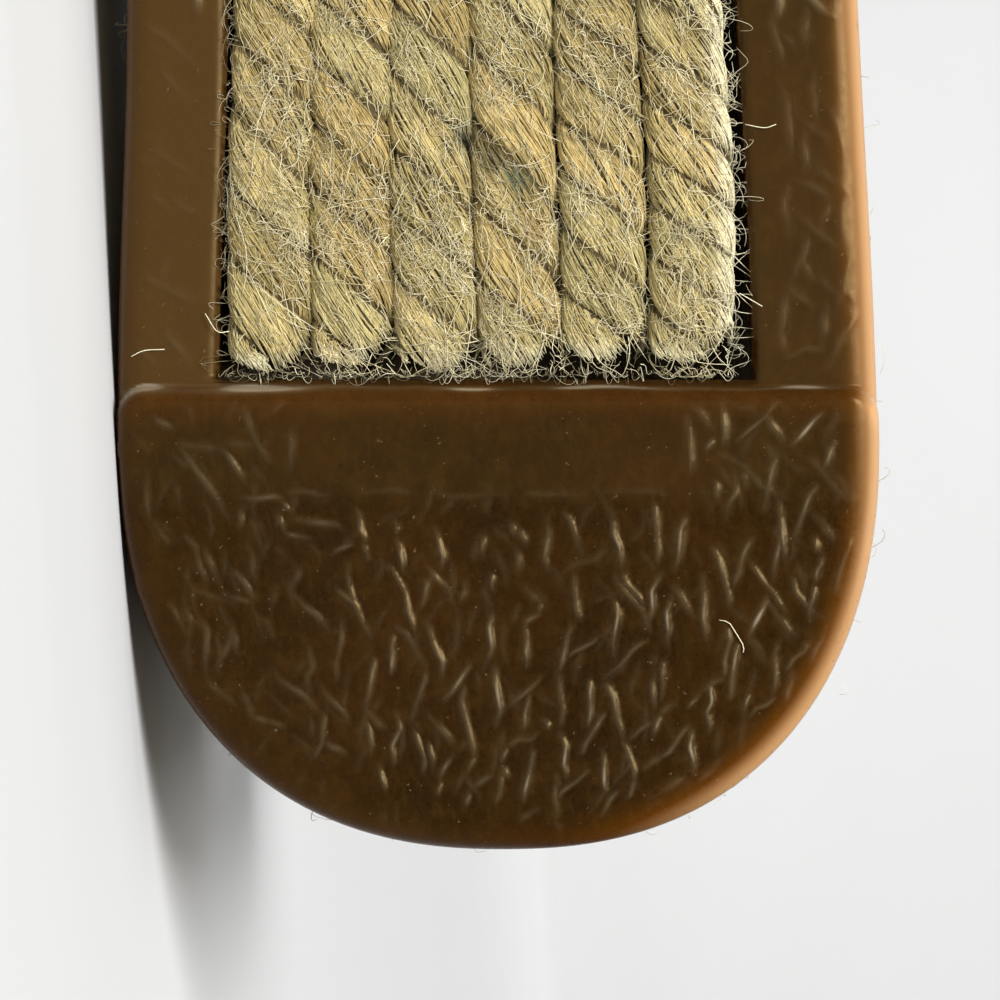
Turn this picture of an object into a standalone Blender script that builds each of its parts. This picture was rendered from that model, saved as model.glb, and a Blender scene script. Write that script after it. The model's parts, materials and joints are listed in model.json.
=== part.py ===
"""Espadrille flat for the right foot: a gum rubber outsole with a window of jute rope, a rope midsole,
an insole and a canvas upper, lying on its outer side on the floor.

The shoe is modelled standing, in its own frame: X to the outer side, Y from heel to toe, Z up from
the ground. An empty then turns the whole shoe over on its side, in metres, +Z up.
"""

import math
from typing import NamedTuple

import bmesh
import bpy
import numpy as np
from mathutils import Matrix, Vector
from mathutils.geometry import intersect_point_tri

MM = 0.001

# Driving dimensions of the sole
SOLE_LENGTH = 252 * MM
HEEL_ROUND = 36 * MM
TOE_ROUND = 58 * MM
HEEL_FULLNESS = 2.2
TOE_FULLNESS = 2.15
TOE_SPRING = 7 * MM
TOE_SPRING_START = 188 * MM
ARCH_LIFT = 1.2 * MM

# Thickness of each layer, from the ground up
OUTSOLE_THICK = 6.0 * MM
ROPE_COURSE = 5.8 * MM
ROPE_COURSES = 2
INSOLE_THICK = 2.0 * MM
UPPER_WALL = 1.6 * MM
GAP = 0.3 * MM

# Underside of the outsole: two pads joined by lower rails round a window
PAD_STEP = 1.4 * MM
HEEL_PAD_END = 38.8 * MM
FOREFOOT_PAD_START = 118.6 * MM
WINDOW_START = 39.4 * MM
WINDOW_END = 118.0 * MM
OUTER_RAIL = 8.6 * MM
INNER_RAIL = 10.3 * MM
WINDOW_POINTS = 11

# Rope inlay in the window
INLAY_ROPES = 6
INLAY_SPACING = 6.95 * MM
INLAY_START = 40.0 * MM
INLAY_END = 117.4 * MM
INLAY_PROUD = 0.4 * MM
STRANDS = 3
STRAND_RADII = (0.80, 1.0, 1.0)
ROPE_STATIONS = 39
ROPE_END_TAPER = (0.55, 0.86)

# Insets of the upper layers from the edge of the outsole
MIDSOLE_INSET = 0.9 * MM
COURSE_GROOVE = 1.0 * MM
FEATHER_INSET = 1.7 * MM
INSOLE_CLEARANCE = 0.7 * MM
INSOLE_INSET = FEATHER_INSET + UPPER_WALL + INSOLE_CLEARANCE

# Collar, throat and toe of the upper
VAMP_START = 165 * MM
COLLAR_BACK = 4 * MM
THROAT = 150 * MM
RIDGE_END = 237 * MM
COLLAR_HALF = 26.5 * MM
COLLAR_SQUARENESS = 0.78
DOME_FULLNESS = 2.6
BULGE_FULLNESS = 0.8
VAMP_BLEND_BEHIND = 70 * MM
VAMP_BLEND_AHEAD = 6 * MM
TOE_BLEND_START = 185 * MM
RIB_STEPS = 10

# Spacing of the points that outline the sole
HEEL_TURN = 11.25
TOE_TURN = 10
WAIST_SPACING = 9 * MM
FOREFOOT_SPANS = 3
COURSE_TURNS = (-90, -52, -17, 17, 52, 90)

# Welding distance, shading angle, and how nearly sideways the face that the shoe lies on points
WELD = 0.02 * MM
SHARP_ANGLE = math.radians(40)
SIDEWAYS = 0.9


class PlanRow(NamedTuple):
    """Sole outline before its heel and toe are rounded, in millimetres."""

    along: float
    centre: float
    half: float


PLAN = (
    PlanRow(0, 0.0, 32.0),
    PlanRow(38, 0.0, 32.0),
    PlanRow(72, 0.4, 30.9),
    PlanRow(96, 1.2, 30.7),
    PlanRow(128, 1.9, 33.4),
    PlanRow(158, 1.1, 39.0),
    PlanRow(180, -0.8, 41.4),
    PlanRow(205, -3.4, 40.6),
    PlanRow(252, -7.5, 37.0),
)


class EdgeRow(NamedTuple):
    """Rounded edge of the outsole, from its underside up, in millimetres."""

    inset: float
    over_bottom: float


OUTSOLE_EDGE = (
    EdgeRow(2.7, 0.0),
    EdgeRow(1.35, 0.3),
    EdgeRow(0.45, 1.05),
    EdgeRow(0.0, 2.3),
)
TOP_EDGE_ROUND = 0.7 * MM


class StepRow(NamedTuple):
    """Rounded front edge of a pad: millimetres behind its step, and share of the step's height."""

    behind: float
    rise: float


PAD_FRONT = (StepRow(1.3, 0.0), StepRow(0.55, 0.12), StepRow(0.2, 0.42), StepRow(0.0, 1.0))


class CollarRow(NamedTuple):
    """Height of the topline, by its share of the way from the heel to the throat, in millimetres."""

    share: float
    height: float


COLLAR = (
    CollarRow(0.0, 65.6),
    CollarRow(0.05, 65.3),
    CollarRow(0.2, 60.5),
    CollarRow(0.42, 51.5),
    CollarRow(0.56, 50.0),
    CollarRow(0.72, 54.0),
    CollarRow(0.86, 63.6),
    CollarRow(0.95, 68.4),
    CollarRow(1.0, 69.0),
)


class RidgeRow(NamedTuple):
    """Instep line of the vamp, from throat to toe, in millimetres."""

    along: float
    height: float


RIDGE = (
    RidgeRow(150, 69.0),
    RidgeRow(172, 61.0),
    RidgeRow(194, 53.5),
    RidgeRow(216, 47.0),
    RidgeRow(237, 40.5),
)


class BulgeRow(NamedTuple):
    """How far the wall of the upper swells past a plain rise, along the foot, in millimetres."""

    along: float
    bulge: float


BULGE = (BulgeRow(0, 2.0), BulgeRow(60, 1.0), BulgeRow(110, 1.6), BulgeRow(165, 3.4), BulgeRow(252, 1.6))

# Lay of each inlay rope, from the outer side to the inner side: turn length and start angle
INLAY_PITCHES = (18.0 * MM, 16.5 * MM, 17.5 * MM, 19.0 * MM, 14.5 * MM, 13.5 * MM)
INLAY_PHASES = (0.2, 1.4, 2.3, 0.9, 1.8, 0.5)

# Density of each layer, for the balance point that the shoe lies on
DENSITY = {"outsole": 1050, "midsole": 480, "insole": 300, "upper": 600, "inlay": 480}


def through(rows, column, at):
    """Smooth curve through one column of a table, read along its first column, in metres."""
    xs = np.array([row[0] for row in rows]) * MM
    ys = np.array([getattr(row, column) for row in rows]) * MM
    return smooth(xs, ys, at)


def smooth(xs, ys, at):
    """Cubic curve through the points (xs, ys), read at the values at."""
    slopes = np.gradient(ys, xs)
    at = np.clip(np.asarray(at, float), xs[0], xs[-1])
    span = np.clip(np.searchsorted(xs, at, side="right") - 1, 0, len(xs) - 2)
    width = xs[span + 1] - xs[span]
    t = (at - xs[span]) / width
    rise = t * t * (3 - 2 * t)
    start_pull = t * (1 - t) ** 2 * width * slopes[span]
    end_pull = t * t * (t - 1) * width * slopes[span + 1]
    return ys[span] * (1 - rise) + ys[span + 1] * rise + start_pull + end_pull


def ease(start, end, at):
    """0 before start, 1 after end, and a soft step between them."""
    t = np.clip((np.asarray(at, float) - start) / (end - start), 0, 1)
    return t * t * (3 - 2 * t)


def rounding(distance, length, fullness):
    """Share of the full width at a distance from a rounded end."""
    left = np.clip(1 - np.asarray(distance, float) / length, 0, 1)
    return (1 - left**fullness) ** (1 / fullness)


def centre(along):
    return through(PLAN, "centre", along)


def half_width(along):
    along = np.asarray(along, float)
    heel = rounding(along, HEEL_ROUND, HEEL_FULLNESS)
    toe = rounding(SOLE_LENGTH - along, TOE_ROUND, TOE_FULLNESS)
    return through(PLAN, "half", along) * heel * toe


def lift(along):
    """Height that the arch and the toe spring add to every layer."""
    along = np.asarray(along, float)
    waist = (along - HEEL_PAD_END) / (FOREFOOT_PAD_START - HEEL_PAD_END)
    arch = ARCH_LIFT * np.sin(np.pi * np.clip(waist, 0, 1)) ** 2
    forward = np.clip((along - TOE_SPRING_START) / (SOLE_LENGTH - TOE_SPRING_START), 0, 1)
    return arch + TOE_SPRING * forward**2


def pad_bottom(along):
    """Height of the underside over the ground line: 0 on the pads, and a step up on the rails."""
    behind = np.array([row.behind for row in PAD_FRONT]) * MM
    rise = np.array([row.rise for row in PAD_FRONT]) * PAD_STEP
    heel = np.interp(along, HEEL_PAD_END - behind, rise)
    forefoot = np.interp(along, FOREFOOT_PAD_START + behind[::-1], rise[::-1])
    return np.minimum(heel, forefoot)


def stations(pad_steps=False):
    """Distances from the heel at which the outline is read, closer together round the heel and toe."""
    heel_turns = np.radians(np.arange(HEEL_TURN, 90, HEEL_TURN))
    heel = HEEL_ROUND * (1 - np.cos(heel_turns) ** (2 / HEEL_FULLNESS))
    toe_turns = np.radians(np.arange(90, 0, -TOE_TURN))
    toe = SOLE_LENGTH - TOE_ROUND * (1 - np.cos(toe_turns) ** (2 / TOE_FULLNESS))
    waist = np.arange(HEEL_ROUND + WAIST_SPACING, VAMP_START - MM, WAIST_SPACING)
    forefoot = np.linspace(VAMP_START, toe[0], FOREFOOT_SPANS + 1)[1:-1]
    steps = [HEEL_ROUND, VAMP_START]
    if pad_steps:
        behind = np.array([row.behind for row in PAD_FRONT]) * MM
        steps = [HEEL_ROUND, *(HEEL_PAD_END - behind), *(FOREFOOT_PAD_START + behind)]
    return np.sort(np.concatenate([heel, waist, forefoot, toe, steps]))


def outline(along, inset=0.0):
    """Plan points of the sole from the heel up the outer side to the toe and back, moved in by inset."""
    x = centre(along)
    half = half_width(along)
    outer = np.column_stack([x + half, along])
    inner = np.column_stack([x - half, along])[::-1]
    heel = [[centre(0.0), 0.0]]
    toe = [[centre(SOLE_LENGTH), SOLE_LENGTH]]
    loop = np.vstack([heel, outer, toe, inner])
    tangent = np.roll(loop, -1, axis=0) - np.roll(loop, 1, axis=0)
    tangent /= np.linalg.norm(tangent, axis=1)[:, None]
    return loop + inset * np.column_stack([-tangent[:, 1], tangent[:, 0]])


def loop_along(along):
    """The distance from the heel of each point of outline(), before any inset."""
    return np.concatenate([[0.0], along, [SOLE_LENGTH], along[::-1]])


def ring(along, inset, height):
    """Outline at a height over the ground line, with the arch and toe spring added."""
    plan = outline(along, inset)
    return np.column_stack([plan, height + lift(plan[:, 1])])


def add_piece(name, shape, material, parent, collection):
    """Makes a named object of a bmesh, with its faces pointing out."""
    bmesh.ops.recalc_face_normals(shape, faces=shape.faces)
    mesh = bpy.data.meshes.new(name)
    shape.to_mesh(mesh)
    shape.free()
    mesh.materials.append(material)
    piece = bpy.data.objects.new(name, mesh)
    piece.parent = parent
    collection.objects.link(piece)
    mesh.shade_smooth()
    mesh.set_sharp_from_angle(angle=SHARP_ANGLE)
    return piece


def stack_of_rings(rings):
    """Closed solid of outline rings, from the lowest up, closed by strips from side to side."""
    shape = bmesh.new()
    levels = [[shape.verts.new(point) for point in level] for level in rings]
    count = len(levels[0])
    for low, high in zip(levels, levels[1:]):
        for i in range(count):
            j = (i + 1) % count
            shape.faces.new((low[i], low[j], high[j], high[i]))
    for level in (levels[0], levels[-1]):
        shape.faces.new((level[0], level[1], level[-1]))
        for i in range(1, count // 2 - 1):
            shape.faces.new((level[i], level[i + 1], level[-i - 1], level[-i]))
        middle = count // 2
        shape.faces.new((level[middle - 1], level[middle], level[middle + 1]))
    return shape


def outsole_shape():
    along = stations(pad_steps=True)
    bottom = pad_bottom(loop_along(along))
    rings = [ring(along, row.inset * MM, bottom + row.over_bottom * MM) for row in OUTSOLE_EDGE]
    rings.append(ring(along, 0.0, OUTSOLE_THICK - TOP_EDGE_ROUND))
    rings.append(ring(along, TOP_EDGE_ROUND, OUTSOLE_THICK))
    return stack_of_rings(rings)


def window_shape():
    """Cutter for the window: the outline moved in by the two rails, right through the outsole."""
    along = np.linspace(WINDOW_START, WINDOW_END, WINDOW_POINTS)
    outer = centre(along) + half_width(along) - OUTER_RAIL
    inner = centre(along) - half_width(along) + INNER_RAIL
    shape = bmesh.new()
    corners = [*zip(outer, along), *zip(inner[::-1], along[::-1])]
    floor = shape.faces.new([shape.verts.new((x, y, -OUTSOLE_THICK)) for x, y in corners])
    raised = bmesh.ops.extrude_face_region(shape, geom=[floor])["geom"]
    tops = [v for v in raised if isinstance(v, bmesh.types.BMVert)]
    bmesh.ops.translate(shape, verts=tops, vec=(0, 0, 3 * OUTSOLE_THICK))
    return shape


def midsole_shape():
    """Rope midsole: each course of rope shows as a rounded rib round the side."""
    along = stations()
    bottom = OUTSOLE_THICK + GAP
    rings = []
    for course in range(ROPE_COURSES):
        for turn in np.radians(COURSE_TURNS[1:] if course else COURSE_TURNS):
            inset = MIDSOLE_INSET + COURSE_GROOVE * (1 - math.cos(turn))
            height = bottom + ROPE_COURSE * (course + (1 + math.sin(turn)) / 2)
            rings.append(ring(along, inset, height))
    return stack_of_rings(rings)


def midsole_top():
    return OUTSOLE_THICK + GAP + ROPE_COURSES * ROPE_COURSE


def insole_shape():
    along = stations()
    low = midsole_top() + GAP
    edge = INSOLE_THICK / 4
    levels = ((0.0, low), (0.0, low + INSOLE_THICK - edge), (edge, low + INSOLE_THICK))
    return stack_of_rings([ring(along, INSOLE_INSET + inset, height) for inset, height in levels])


def inlay_rope_shape(index):
    """One length of three-strand rope, left-hand laid, pressed a little flat, with its ends drawn in."""
    shift = (INNER_RAIL - OUTER_RAIL) / 2
    across = shift + INLAY_SPACING * ((INLAY_ROPES - 1) / 2 - index)
    half_wide = (INLAY_SPACING - GAP) / 2
    low = PAD_STEP - INLAY_PROUD
    high = OUTSOLE_THICK - GAP
    points = STRANDS * len(STRAND_RADII)
    along = np.linspace(INLAY_START, INLAY_END, ROPE_STATIONS)
    taper = np.ones(ROPE_STATIONS)
    taper[: len(ROPE_END_TAPER)] = ROPE_END_TAPER
    taper[-len(ROPE_END_TAPER) :] = ROPE_END_TAPER[::-1]
    shape = bmesh.new()
    sections = []
    for y, share in zip(along, taper):
        turn = INLAY_PHASES[index] + 2 * np.pi * y / INLAY_PITCHES[index]
        section = []
        for k in range(points):
            angle = turn + 2 * np.pi * k / points
            radius = share * STRAND_RADII[k % len(STRAND_RADII)]
            x = centre(y) + across + half_wide * radius * math.cos(angle)
            z = lift(y) + (low + high) / 2 + (high - low) / 2 * radius * math.sin(angle)
            section.append(shape.verts.new((x, y, z)))
        sections.append(section)
    for first, second in zip(sections, sections[1:]):
        for k in range(points):
            n = (k + 1) % points
            shape.faces.new((first[k], first[n], second[n], second[k]))
    shape.faces.new(sections[0])
    shape.faces.new(sections[-1])
    return shape


def topline(share, side):
    """Points of the collar, by their share of the way from the heel to the throat."""
    turn = np.pi * share
    reach = (THROAT - COLLAR_BACK) / 2
    y = COLLAR_BACK + reach * (1 - np.cos(turn))
    x = centre(y) + side * COLLAR_HALF * np.sin(turn) ** COLLAR_SQUARENESS
    shares = np.array([row.share for row in COLLAR])
    heights = np.array([row.height for row in COLLAR]) * MM
    z = smooth(shares, heights, share)
    return np.column_stack([x, y, z])


def ridge(share):
    """Points of the instep line, by their share of the way from the throat to the toe."""
    y = THROAT + (RIDGE_END - THROAT) * share
    return np.column_stack([centre(y), y, through(RIDGE, "height", y)])


def way_round(points):
    """Distance walked along the points in plan, from the first one."""
    steps = np.linalg.norm(np.diff(points[:, :2], axis=0), axis=1)
    return np.concatenate([[0], np.cumsum(steps)])


def upper_ribs(side):
    """The wall of one side as ribs that rise from the feather line to the topline or the instep line."""
    along = stations()
    count = len(along) + 2
    loop = ring(along, FEATHER_INSET, midsole_top() + GAP)
    order = side * np.arange(count)
    base = loop[order]
    plan = loop_along(along)[:count]
    walked = (way_round(loop[:count]) + way_round(loop[-np.arange(count)])) / 2
    corner = int(np.argmin(abs(plan - VAMP_START)))
    top = np.empty_like(base)
    top[: corner + 1] = topline(walked[: corner + 1] / walked[corner], side)
    top[corner:] = ridge((walked[corner:] - walked[corner]) / (walked[-1] - walked[corner]))
    outward = base[:, :2] - outline(along, FEATHER_INSET + MM)[order]
    outward /= np.linalg.norm(outward, axis=1)[:, None]
    swell = through(BULGE, "bulge", plan)
    vamp = ease(VAMP_START - VAMP_BLEND_BEHIND, VAMP_START + VAMP_BLEND_AHEAD, plan)
    toe_slope = (RIDGE[-1].height - RIDGE[-2].height) / (RIDGE[-1].along - RIDGE[-2].along)
    toe_slope = toe_slope * ease(TOE_BLEND_START, RIDGE_END, top[:, 1])
    ribs = []
    for v in np.linspace(0, 1, RIB_STEPS):
        turn = v * np.pi / 2
        dome_in = 1 - np.cos(turn) ** (2 / DOME_FULLNESS) if v < 1 else 1.0
        dome_up = np.sin(turn) ** (2 / DOME_FULLNESS)
        inward = (1 - vamp) * v**2 + vamp * dome_in
        upward = (1 - vamp) * v + vamp * dome_up
        points = base.copy()
        points[:, :2] += (top - base)[:, :2] * inward[:, None]
        points[:, :2] += outward * (swell * np.sin(np.pi * v) ** BULGE_FULLNESS)[:, None]
        points[:, 2] += (top - base)[:, 2] * upward + toe_slope * (points - top)[:, 1] * v
        ribs.append(points)
    return ribs


def upper_shape():
    """Open skin of the upper: its sides are welded at the back seam, the toe and the instep line."""
    shape = bmesh.new()
    sides = [[[shape.verts.new(p) for p in row] for row in upper_ribs(side)] for side in (1, -1)]
    for rows, turned in zip(sides, (False, True)):
        for low, high in zip(rows, rows[1:]):
            for i in range(len(low) - 1):
                face = (low[i], low[i + 1], high[i + 1], high[i])
                shape.faces.new(face[::-1] if turned else face)
    bmesh.ops.remove_doubles(shape, verts=shape.verts, dist=WELD)
    return shape


def material(name, colour, roughness):
    made = bpy.data.materials.new(name)
    made.use_nodes = True
    shader = made.node_tree.nodes["Principled BSDF"]
    shader.inputs["Base Color"].default_value = (*colour, 1)
    shader.inputs["Roughness"].default_value = roughness
    shader.inputs["Metallic"].default_value = 0.0
    made.diffuse_color = (*colour, 1)
    return made


def triangle_corners(piece):
    """Corner points of the piece's evaluated triangles, in the shoe's frame."""
    graph = bpy.context.evaluated_depsgraph_get()
    evaluated = piece.evaluated_get(graph)
    mesh = evaluated.to_mesh()
    mesh.calc_loop_triangles()
    points = np.array([v.co for v in mesh.vertices])
    corners = points[np.array([t.vertices for t in mesh.loop_triangles])]
    evaluated.to_mesh_clear()
    return corners


def balance_point(pieces):
    """Centre of mass of the shoe, from each piece's volume and density."""
    total = 0.0
    moment = np.zeros(3)
    for piece in pieces:
        corners = triangle_corners(piece)
        volumes = np.linalg.det(corners) / 6
        density = DENSITY[piece.name.split("_")[0]]
        total += density * volumes.sum()
        moment += density * (volumes[:, None] * corners.sum(axis=1) / 4).sum(axis=0)
    return Vector(moment / total)


def lying_matrix(pieces):
    """Turns the shoe on its outer side, on the face of its hull that has the balance point over it."""
    balance = balance_point(pieces)
    hull = bmesh.new()
    for piece in pieces:
        for point in np.unique(triangle_corners(piece).reshape(-1, 3), axis=0):
            hull.verts.new(point)
    bmesh.ops.convex_hull(hull, input=hull.verts)
    hull.normal_update()
    down = None
    for face in hull.faces:
        normal = face.normal
        corners = [v.co for v in face.verts]
        foot = balance + normal * normal.dot(corners[0] - balance)
        if normal.x > SIDEWAYS and intersect_point_tri(foot, *corners) is not None:
            down = normal.copy()
    back = Vector((0, -1, 0))
    back = (back - down * back.dot(down)).normalized()
    turn = Matrix((back, (-down).cross(back), -down)).to_4x4()
    points = np.array([turn @ v.co for v in hull.verts])
    hull.free()
    low, high = points.min(axis=0), points.max(axis=0)
    middle = Vector(((low[0] + high[0]) / 2, (low[1] + high[1]) / 2, low[2]))
    return Matrix.Translation(-middle) @ turn


def main():
    for old in list(bpy.data.objects):
        bpy.data.objects.remove(old)
    parts = bpy.data.collections.new("espadrille_flat")
    cutters = bpy.data.collections.new("cutters")
    for collection in (parts, cutters):
        bpy.context.scene.collection.children.link(collection)
    shoe = bpy.data.objects.new("shoe", None)
    parts.objects.link(shoe)

    rubber = material("gum_rubber", (0.13, 0.062, 0.018), 0.45)
    jute = material("jute_rope", (0.52, 0.42, 0.24), 0.9)
    canvas = material("canvas", (0.66, 0.58, 0.44), 0.88)
    lining = material("insole_jute_cloth", (0.58, 0.47, 0.30), 0.9)

    outsole = add_piece("outsole", outsole_shape(), rubber, shoe, parts)
    window = add_piece("window_cutter", window_shape(), rubber, shoe, cutters)
    window.hide_render = True
    window.display_type = "WIRE"
    cut = outsole.modifiers.new("window", "BOOLEAN")
    cut.object = window
    cut.operation = "DIFFERENCE"
    cut.solver = "EXACT"

    midsole = add_piece("midsole", midsole_shape(), jute, shoe, parts)
    insole = add_piece("insole", insole_shape(), lining, shoe, parts)
    ropes = []
    for index in range(INLAY_ROPES):
        shape = inlay_rope_shape(index)
        ropes.append(add_piece(f"inlay_rope_{index + 1}", shape, jute, shoe, parts))

    upper = add_piece("upper", upper_shape(), canvas, shoe, parts)
    wall = upper.modifiers.new("wall", "SOLIDIFY")
    wall.thickness = UPPER_WALL
    wall.offset = -1
    wall.use_quality_normals = True

    bpy.context.view_layer.update()
    shoe.matrix_world = lying_matrix([outsole, midsole, insole, upper, *ropes])


main()
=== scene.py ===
"""Looks of the espadrille flat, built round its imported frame: a gum rubber outsole with crepe ridges,
an inlay of laid jute rope with loose fibres, a rope midsole, a jute cloth insole and a canvas upper.

Pieces are modelled in the shoe's own frame, in millimetres: X to the outer side, Y from heel to toe, Z up
from the ground. Each mesh is then laid on its side with the frame's shoe, in metres.
"""

import json
import math
from typing import NamedTuple

import bpy
import numpy as np
from mathutils import Matrix, Vector, kdtree
from mathutils.bvhtree import BVHTree


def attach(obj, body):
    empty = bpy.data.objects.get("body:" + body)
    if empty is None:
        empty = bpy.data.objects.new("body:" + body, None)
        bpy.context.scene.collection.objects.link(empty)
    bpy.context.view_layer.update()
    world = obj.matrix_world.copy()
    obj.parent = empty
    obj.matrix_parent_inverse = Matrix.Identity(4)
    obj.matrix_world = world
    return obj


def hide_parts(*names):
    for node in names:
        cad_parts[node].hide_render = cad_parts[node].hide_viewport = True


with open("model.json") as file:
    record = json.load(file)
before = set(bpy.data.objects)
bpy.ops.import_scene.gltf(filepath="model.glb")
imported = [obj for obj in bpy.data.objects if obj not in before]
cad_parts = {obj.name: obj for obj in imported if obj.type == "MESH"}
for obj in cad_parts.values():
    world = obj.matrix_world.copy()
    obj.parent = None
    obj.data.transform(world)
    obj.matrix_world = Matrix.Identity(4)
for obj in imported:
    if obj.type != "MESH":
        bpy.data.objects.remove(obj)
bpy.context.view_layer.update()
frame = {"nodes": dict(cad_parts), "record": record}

MM = 0.001
FLOOR_CLEAR = 0.00002

# Plan and layers of the sole
SOLE_LENGTH = 252.0
HEEL_ROUND = 36.0
TOE_ROUND = 58.0
HEEL_FULLNESS = 2.35
TOE_FULLNESS = 2.15
TOE_SPRING = 7.0
TOE_SPRING_START = 188.0
ARCH_LIFT = 1.2
OUTSOLE_THICK = 6.0
TOP_EDGE_ROUND = 0.7
MIDSOLE_BOTTOM = 6.3
ROPE_COURSE = 5.8
MIDSOLE_INSET = 0.9
MIDSOLE_TOP = 17.9
HEEL_MOUNT_ALONG = 20.0

# Underside of the outsole
PAD_STEP = 1.4
HEEL_PAD_END = 38.8
FOREFOOT_PAD_START = 118.6
PAD_FRONT_WIDE = 1.3
PAD_CORNER_BACK = 1.7
PAD_CORNER_WIDE = 2.6
WINDOW_START = 39.4
WINDOW_END = 118.0
OUTER_RAIL = 8.6
INNER_RAIL = 10.3
WAIST_HALF = 30.7
RIM_WIDE = 2.7
RIM_HIGH = 2.3
LIP_WIDE = 1.3
LIP_HIGH = 0.45

# Inlay rope
INLAY_ROPES = 6
INLAY_START = 40.0
INLAY_END = 117.4
INLAY_HALF_WIDE = 3.55
INLAY_SQUARENESS = 3.2
INLAY_MIDDLE = 3.35
INLAY_HALF_HIGH = 2.35
INLAY_PITCHES = (18.0, 16.5, 17.5, 19.0, 14.5, 13.5)
INLAY_PHASES = (0.2, 1.4, 2.3, 0.9, 1.8, 0.5)
STRANDS = 3

# Camera, from the underside of the heel
PIXEL = 0.0833
IMAGE_SIDE = 1000
AIM = (-0.25, 29.3, 0.0)
CAMERA_AWAY = 300.0
SENSOR = 36.0
CLIP_START = 0.01

# Points of the outline, and a way that no tube runs
OUTLINE_POINTS = 2400
END_TURNS = 260
WAIST_POINTS = 300
TINY = 1e-12
TUBE_ASIDE = (0.12, 0.21, 1.0)

# Sockets of the node that mixes two colours
MIX_SHARE = 0
MIX_FIRST = 6
MIX_SECOND = 7
MIX_RESULT = 2


class PlanRow(NamedTuple):
    """Sole outline before its heel and toe are rounded."""

    along: float
    centre: float
    half: float


PLAN = (
    PlanRow(0, -0.5, 32.0),
    PlanRow(38, 0.0, 32.0),
    PlanRow(72, 0.4, 30.9),
    PlanRow(96, 1.2, 30.7),
    PlanRow(128, 1.9, 33.4),
    PlanRow(158, 1.1, 39.0),
    PlanRow(180, -0.8, 41.4),
    PlanRow(205, -3.4, 40.6),
    PlanRow(252, -7.5, 37.0),
)


class InlayRow(NamedTuple):
    """Where the six inlay ropes lie across the sole, from the outer side to the inner side."""

    along: float
    across: tuple


INLAY_COURSE = (
    InlayRow(40.0, (18.9, 11.9, 4.9, -2.1, -8.9, -16.2)),
    InlayRow(54.0, (19.1, 12.4, 5.6, -1.5, -8.9, -16.4)),
    InlayRow(70.0, (18.6, 12.1, 5.7, -1.1, -8.2, -15.4)),
    InlayRow(117.4, (19.9, 13.0, 6.0, -1.0, -7.9, -14.9)),
)


class StainRow(NamedTuple):
    """A stained spot on the inlay: place, reach and linear colour."""

    across: float
    along: float
    reach: float
    strength: float
    colour: tuple


STAINS = (
    StainRow(2.5, 59.6, 1.1, 0.95, (0.02, 0.022, 0.012)),
    StainRow(0.4, 57.8, 1.2, 0.75, (0.07, 0.065, 0.03)),
    StainRow(-2.2, 56.0, 1.2, 0.6, (0.09, 0.085, 0.04)),
    StainRow(-1.4, 56.2, 0.7, 0.85, (0.05, 0.13, 0.09)),
    StainRow(12.3, 64.7, 0.5, 0.8, (0.05, 0.045, 0.05)),
    StainRow(15.6, 53.5, 0.8, 0.55, (0.46, 0.38, 0.09)),
    StainRow(7.6, 53.2, 0.8, 0.5, (0.36, 0.31, 0.07)),
    StainRow(-13.2, 60.7, 0.9, 0.5, (0.44, 0.35, 0.10)),
    StainRow(-14.1, 57.8, 0.9, 0.5, (0.42, 0.33, 0.10)),
    StainRow(-3.2, 51.9, 0.8, 0.5, (0.42, 0.24, 0.08)),
)


def smooth(xs, ys, at):
    """Cubic curve through the points (xs, ys), read at the values at."""
    xs = np.asarray(xs, float)
    ys = np.asarray(ys, float)
    slopes = np.gradient(ys, xs)
    at = np.clip(np.asarray(at, float), xs[0], xs[-1])
    span = np.clip(np.searchsorted(xs, at, side="right") - 1, 0, len(xs) - 2)
    width = xs[span + 1] - xs[span]
    t = (at - xs[span]) / width
    rise = t * t * (3 - 2 * t)
    start_pull = t * (1 - t) ** 2 * width * slopes[span]
    end_pull = t * t * (t - 1) * width * slopes[span + 1]
    return ys[span] * (1 - rise) + ys[span + 1] * rise + start_pull + end_pull


def ease(start, end, at):
    """0 before start, 1 after end, and a soft step between them."""
    t = np.clip((np.asarray(at, float) - start) / (end - start), 0, 1)
    return t * t * (3 - 2 * t)


def bell(off, wide=1.0):
    """1 at no distance off, and less the farther off, over a width."""
    return np.exp(-((off / wide) ** 2))


def soft_ends(t, cut, power):
    """A rounded taper towards both ends of a line."""
    return np.sin(np.pi * (cut + (1 - 2 * cut) * t)) ** power


def rounding(distance, length, fullness):
    """Share of the full width at a distance from a rounded end."""
    left = np.clip(1 - np.asarray(distance, float) / length, 0, 1)
    return (1 - left**fullness) ** (1 / fullness)


def centre(along):
    return smooth([row.along for row in PLAN], [row.centre for row in PLAN], along)


def half_width(along):
    heel = rounding(along, HEEL_ROUND, HEEL_FULLNESS)
    toe = rounding(SOLE_LENGTH - np.asarray(along, float), TOE_ROUND, TOE_FULLNESS)
    return smooth([row.along for row in PLAN], [row.half for row in PLAN], along) * heel * toe


def lift(along):
    """Height that the arch and the toe spring add to every layer."""
    along = np.asarray(along, float)
    waist = (along - HEEL_PAD_END) / (FOREFOOT_PAD_START - HEEL_PAD_END)
    arch = ARCH_LIFT * np.sin(np.pi * np.clip(waist, 0, 1)) ** 2
    forward = np.clip((along - TOE_SPRING_START) / (SOLE_LENGTH - TOE_SPRING_START), 0, 1)
    return arch + TOE_SPRING * forward**2


def walked_along(path):
    """Distance walked along a path, at each of its points."""
    return np.concatenate([[0], np.cumsum(np.linalg.norm(np.diff(path, axis=0), axis=1))])


def read_along(walked, values, at):
    """Values that the points of a path have, read at distances along it."""
    return np.stack([np.interp(at, walked, column) for column in values.T], axis=-1)


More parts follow.
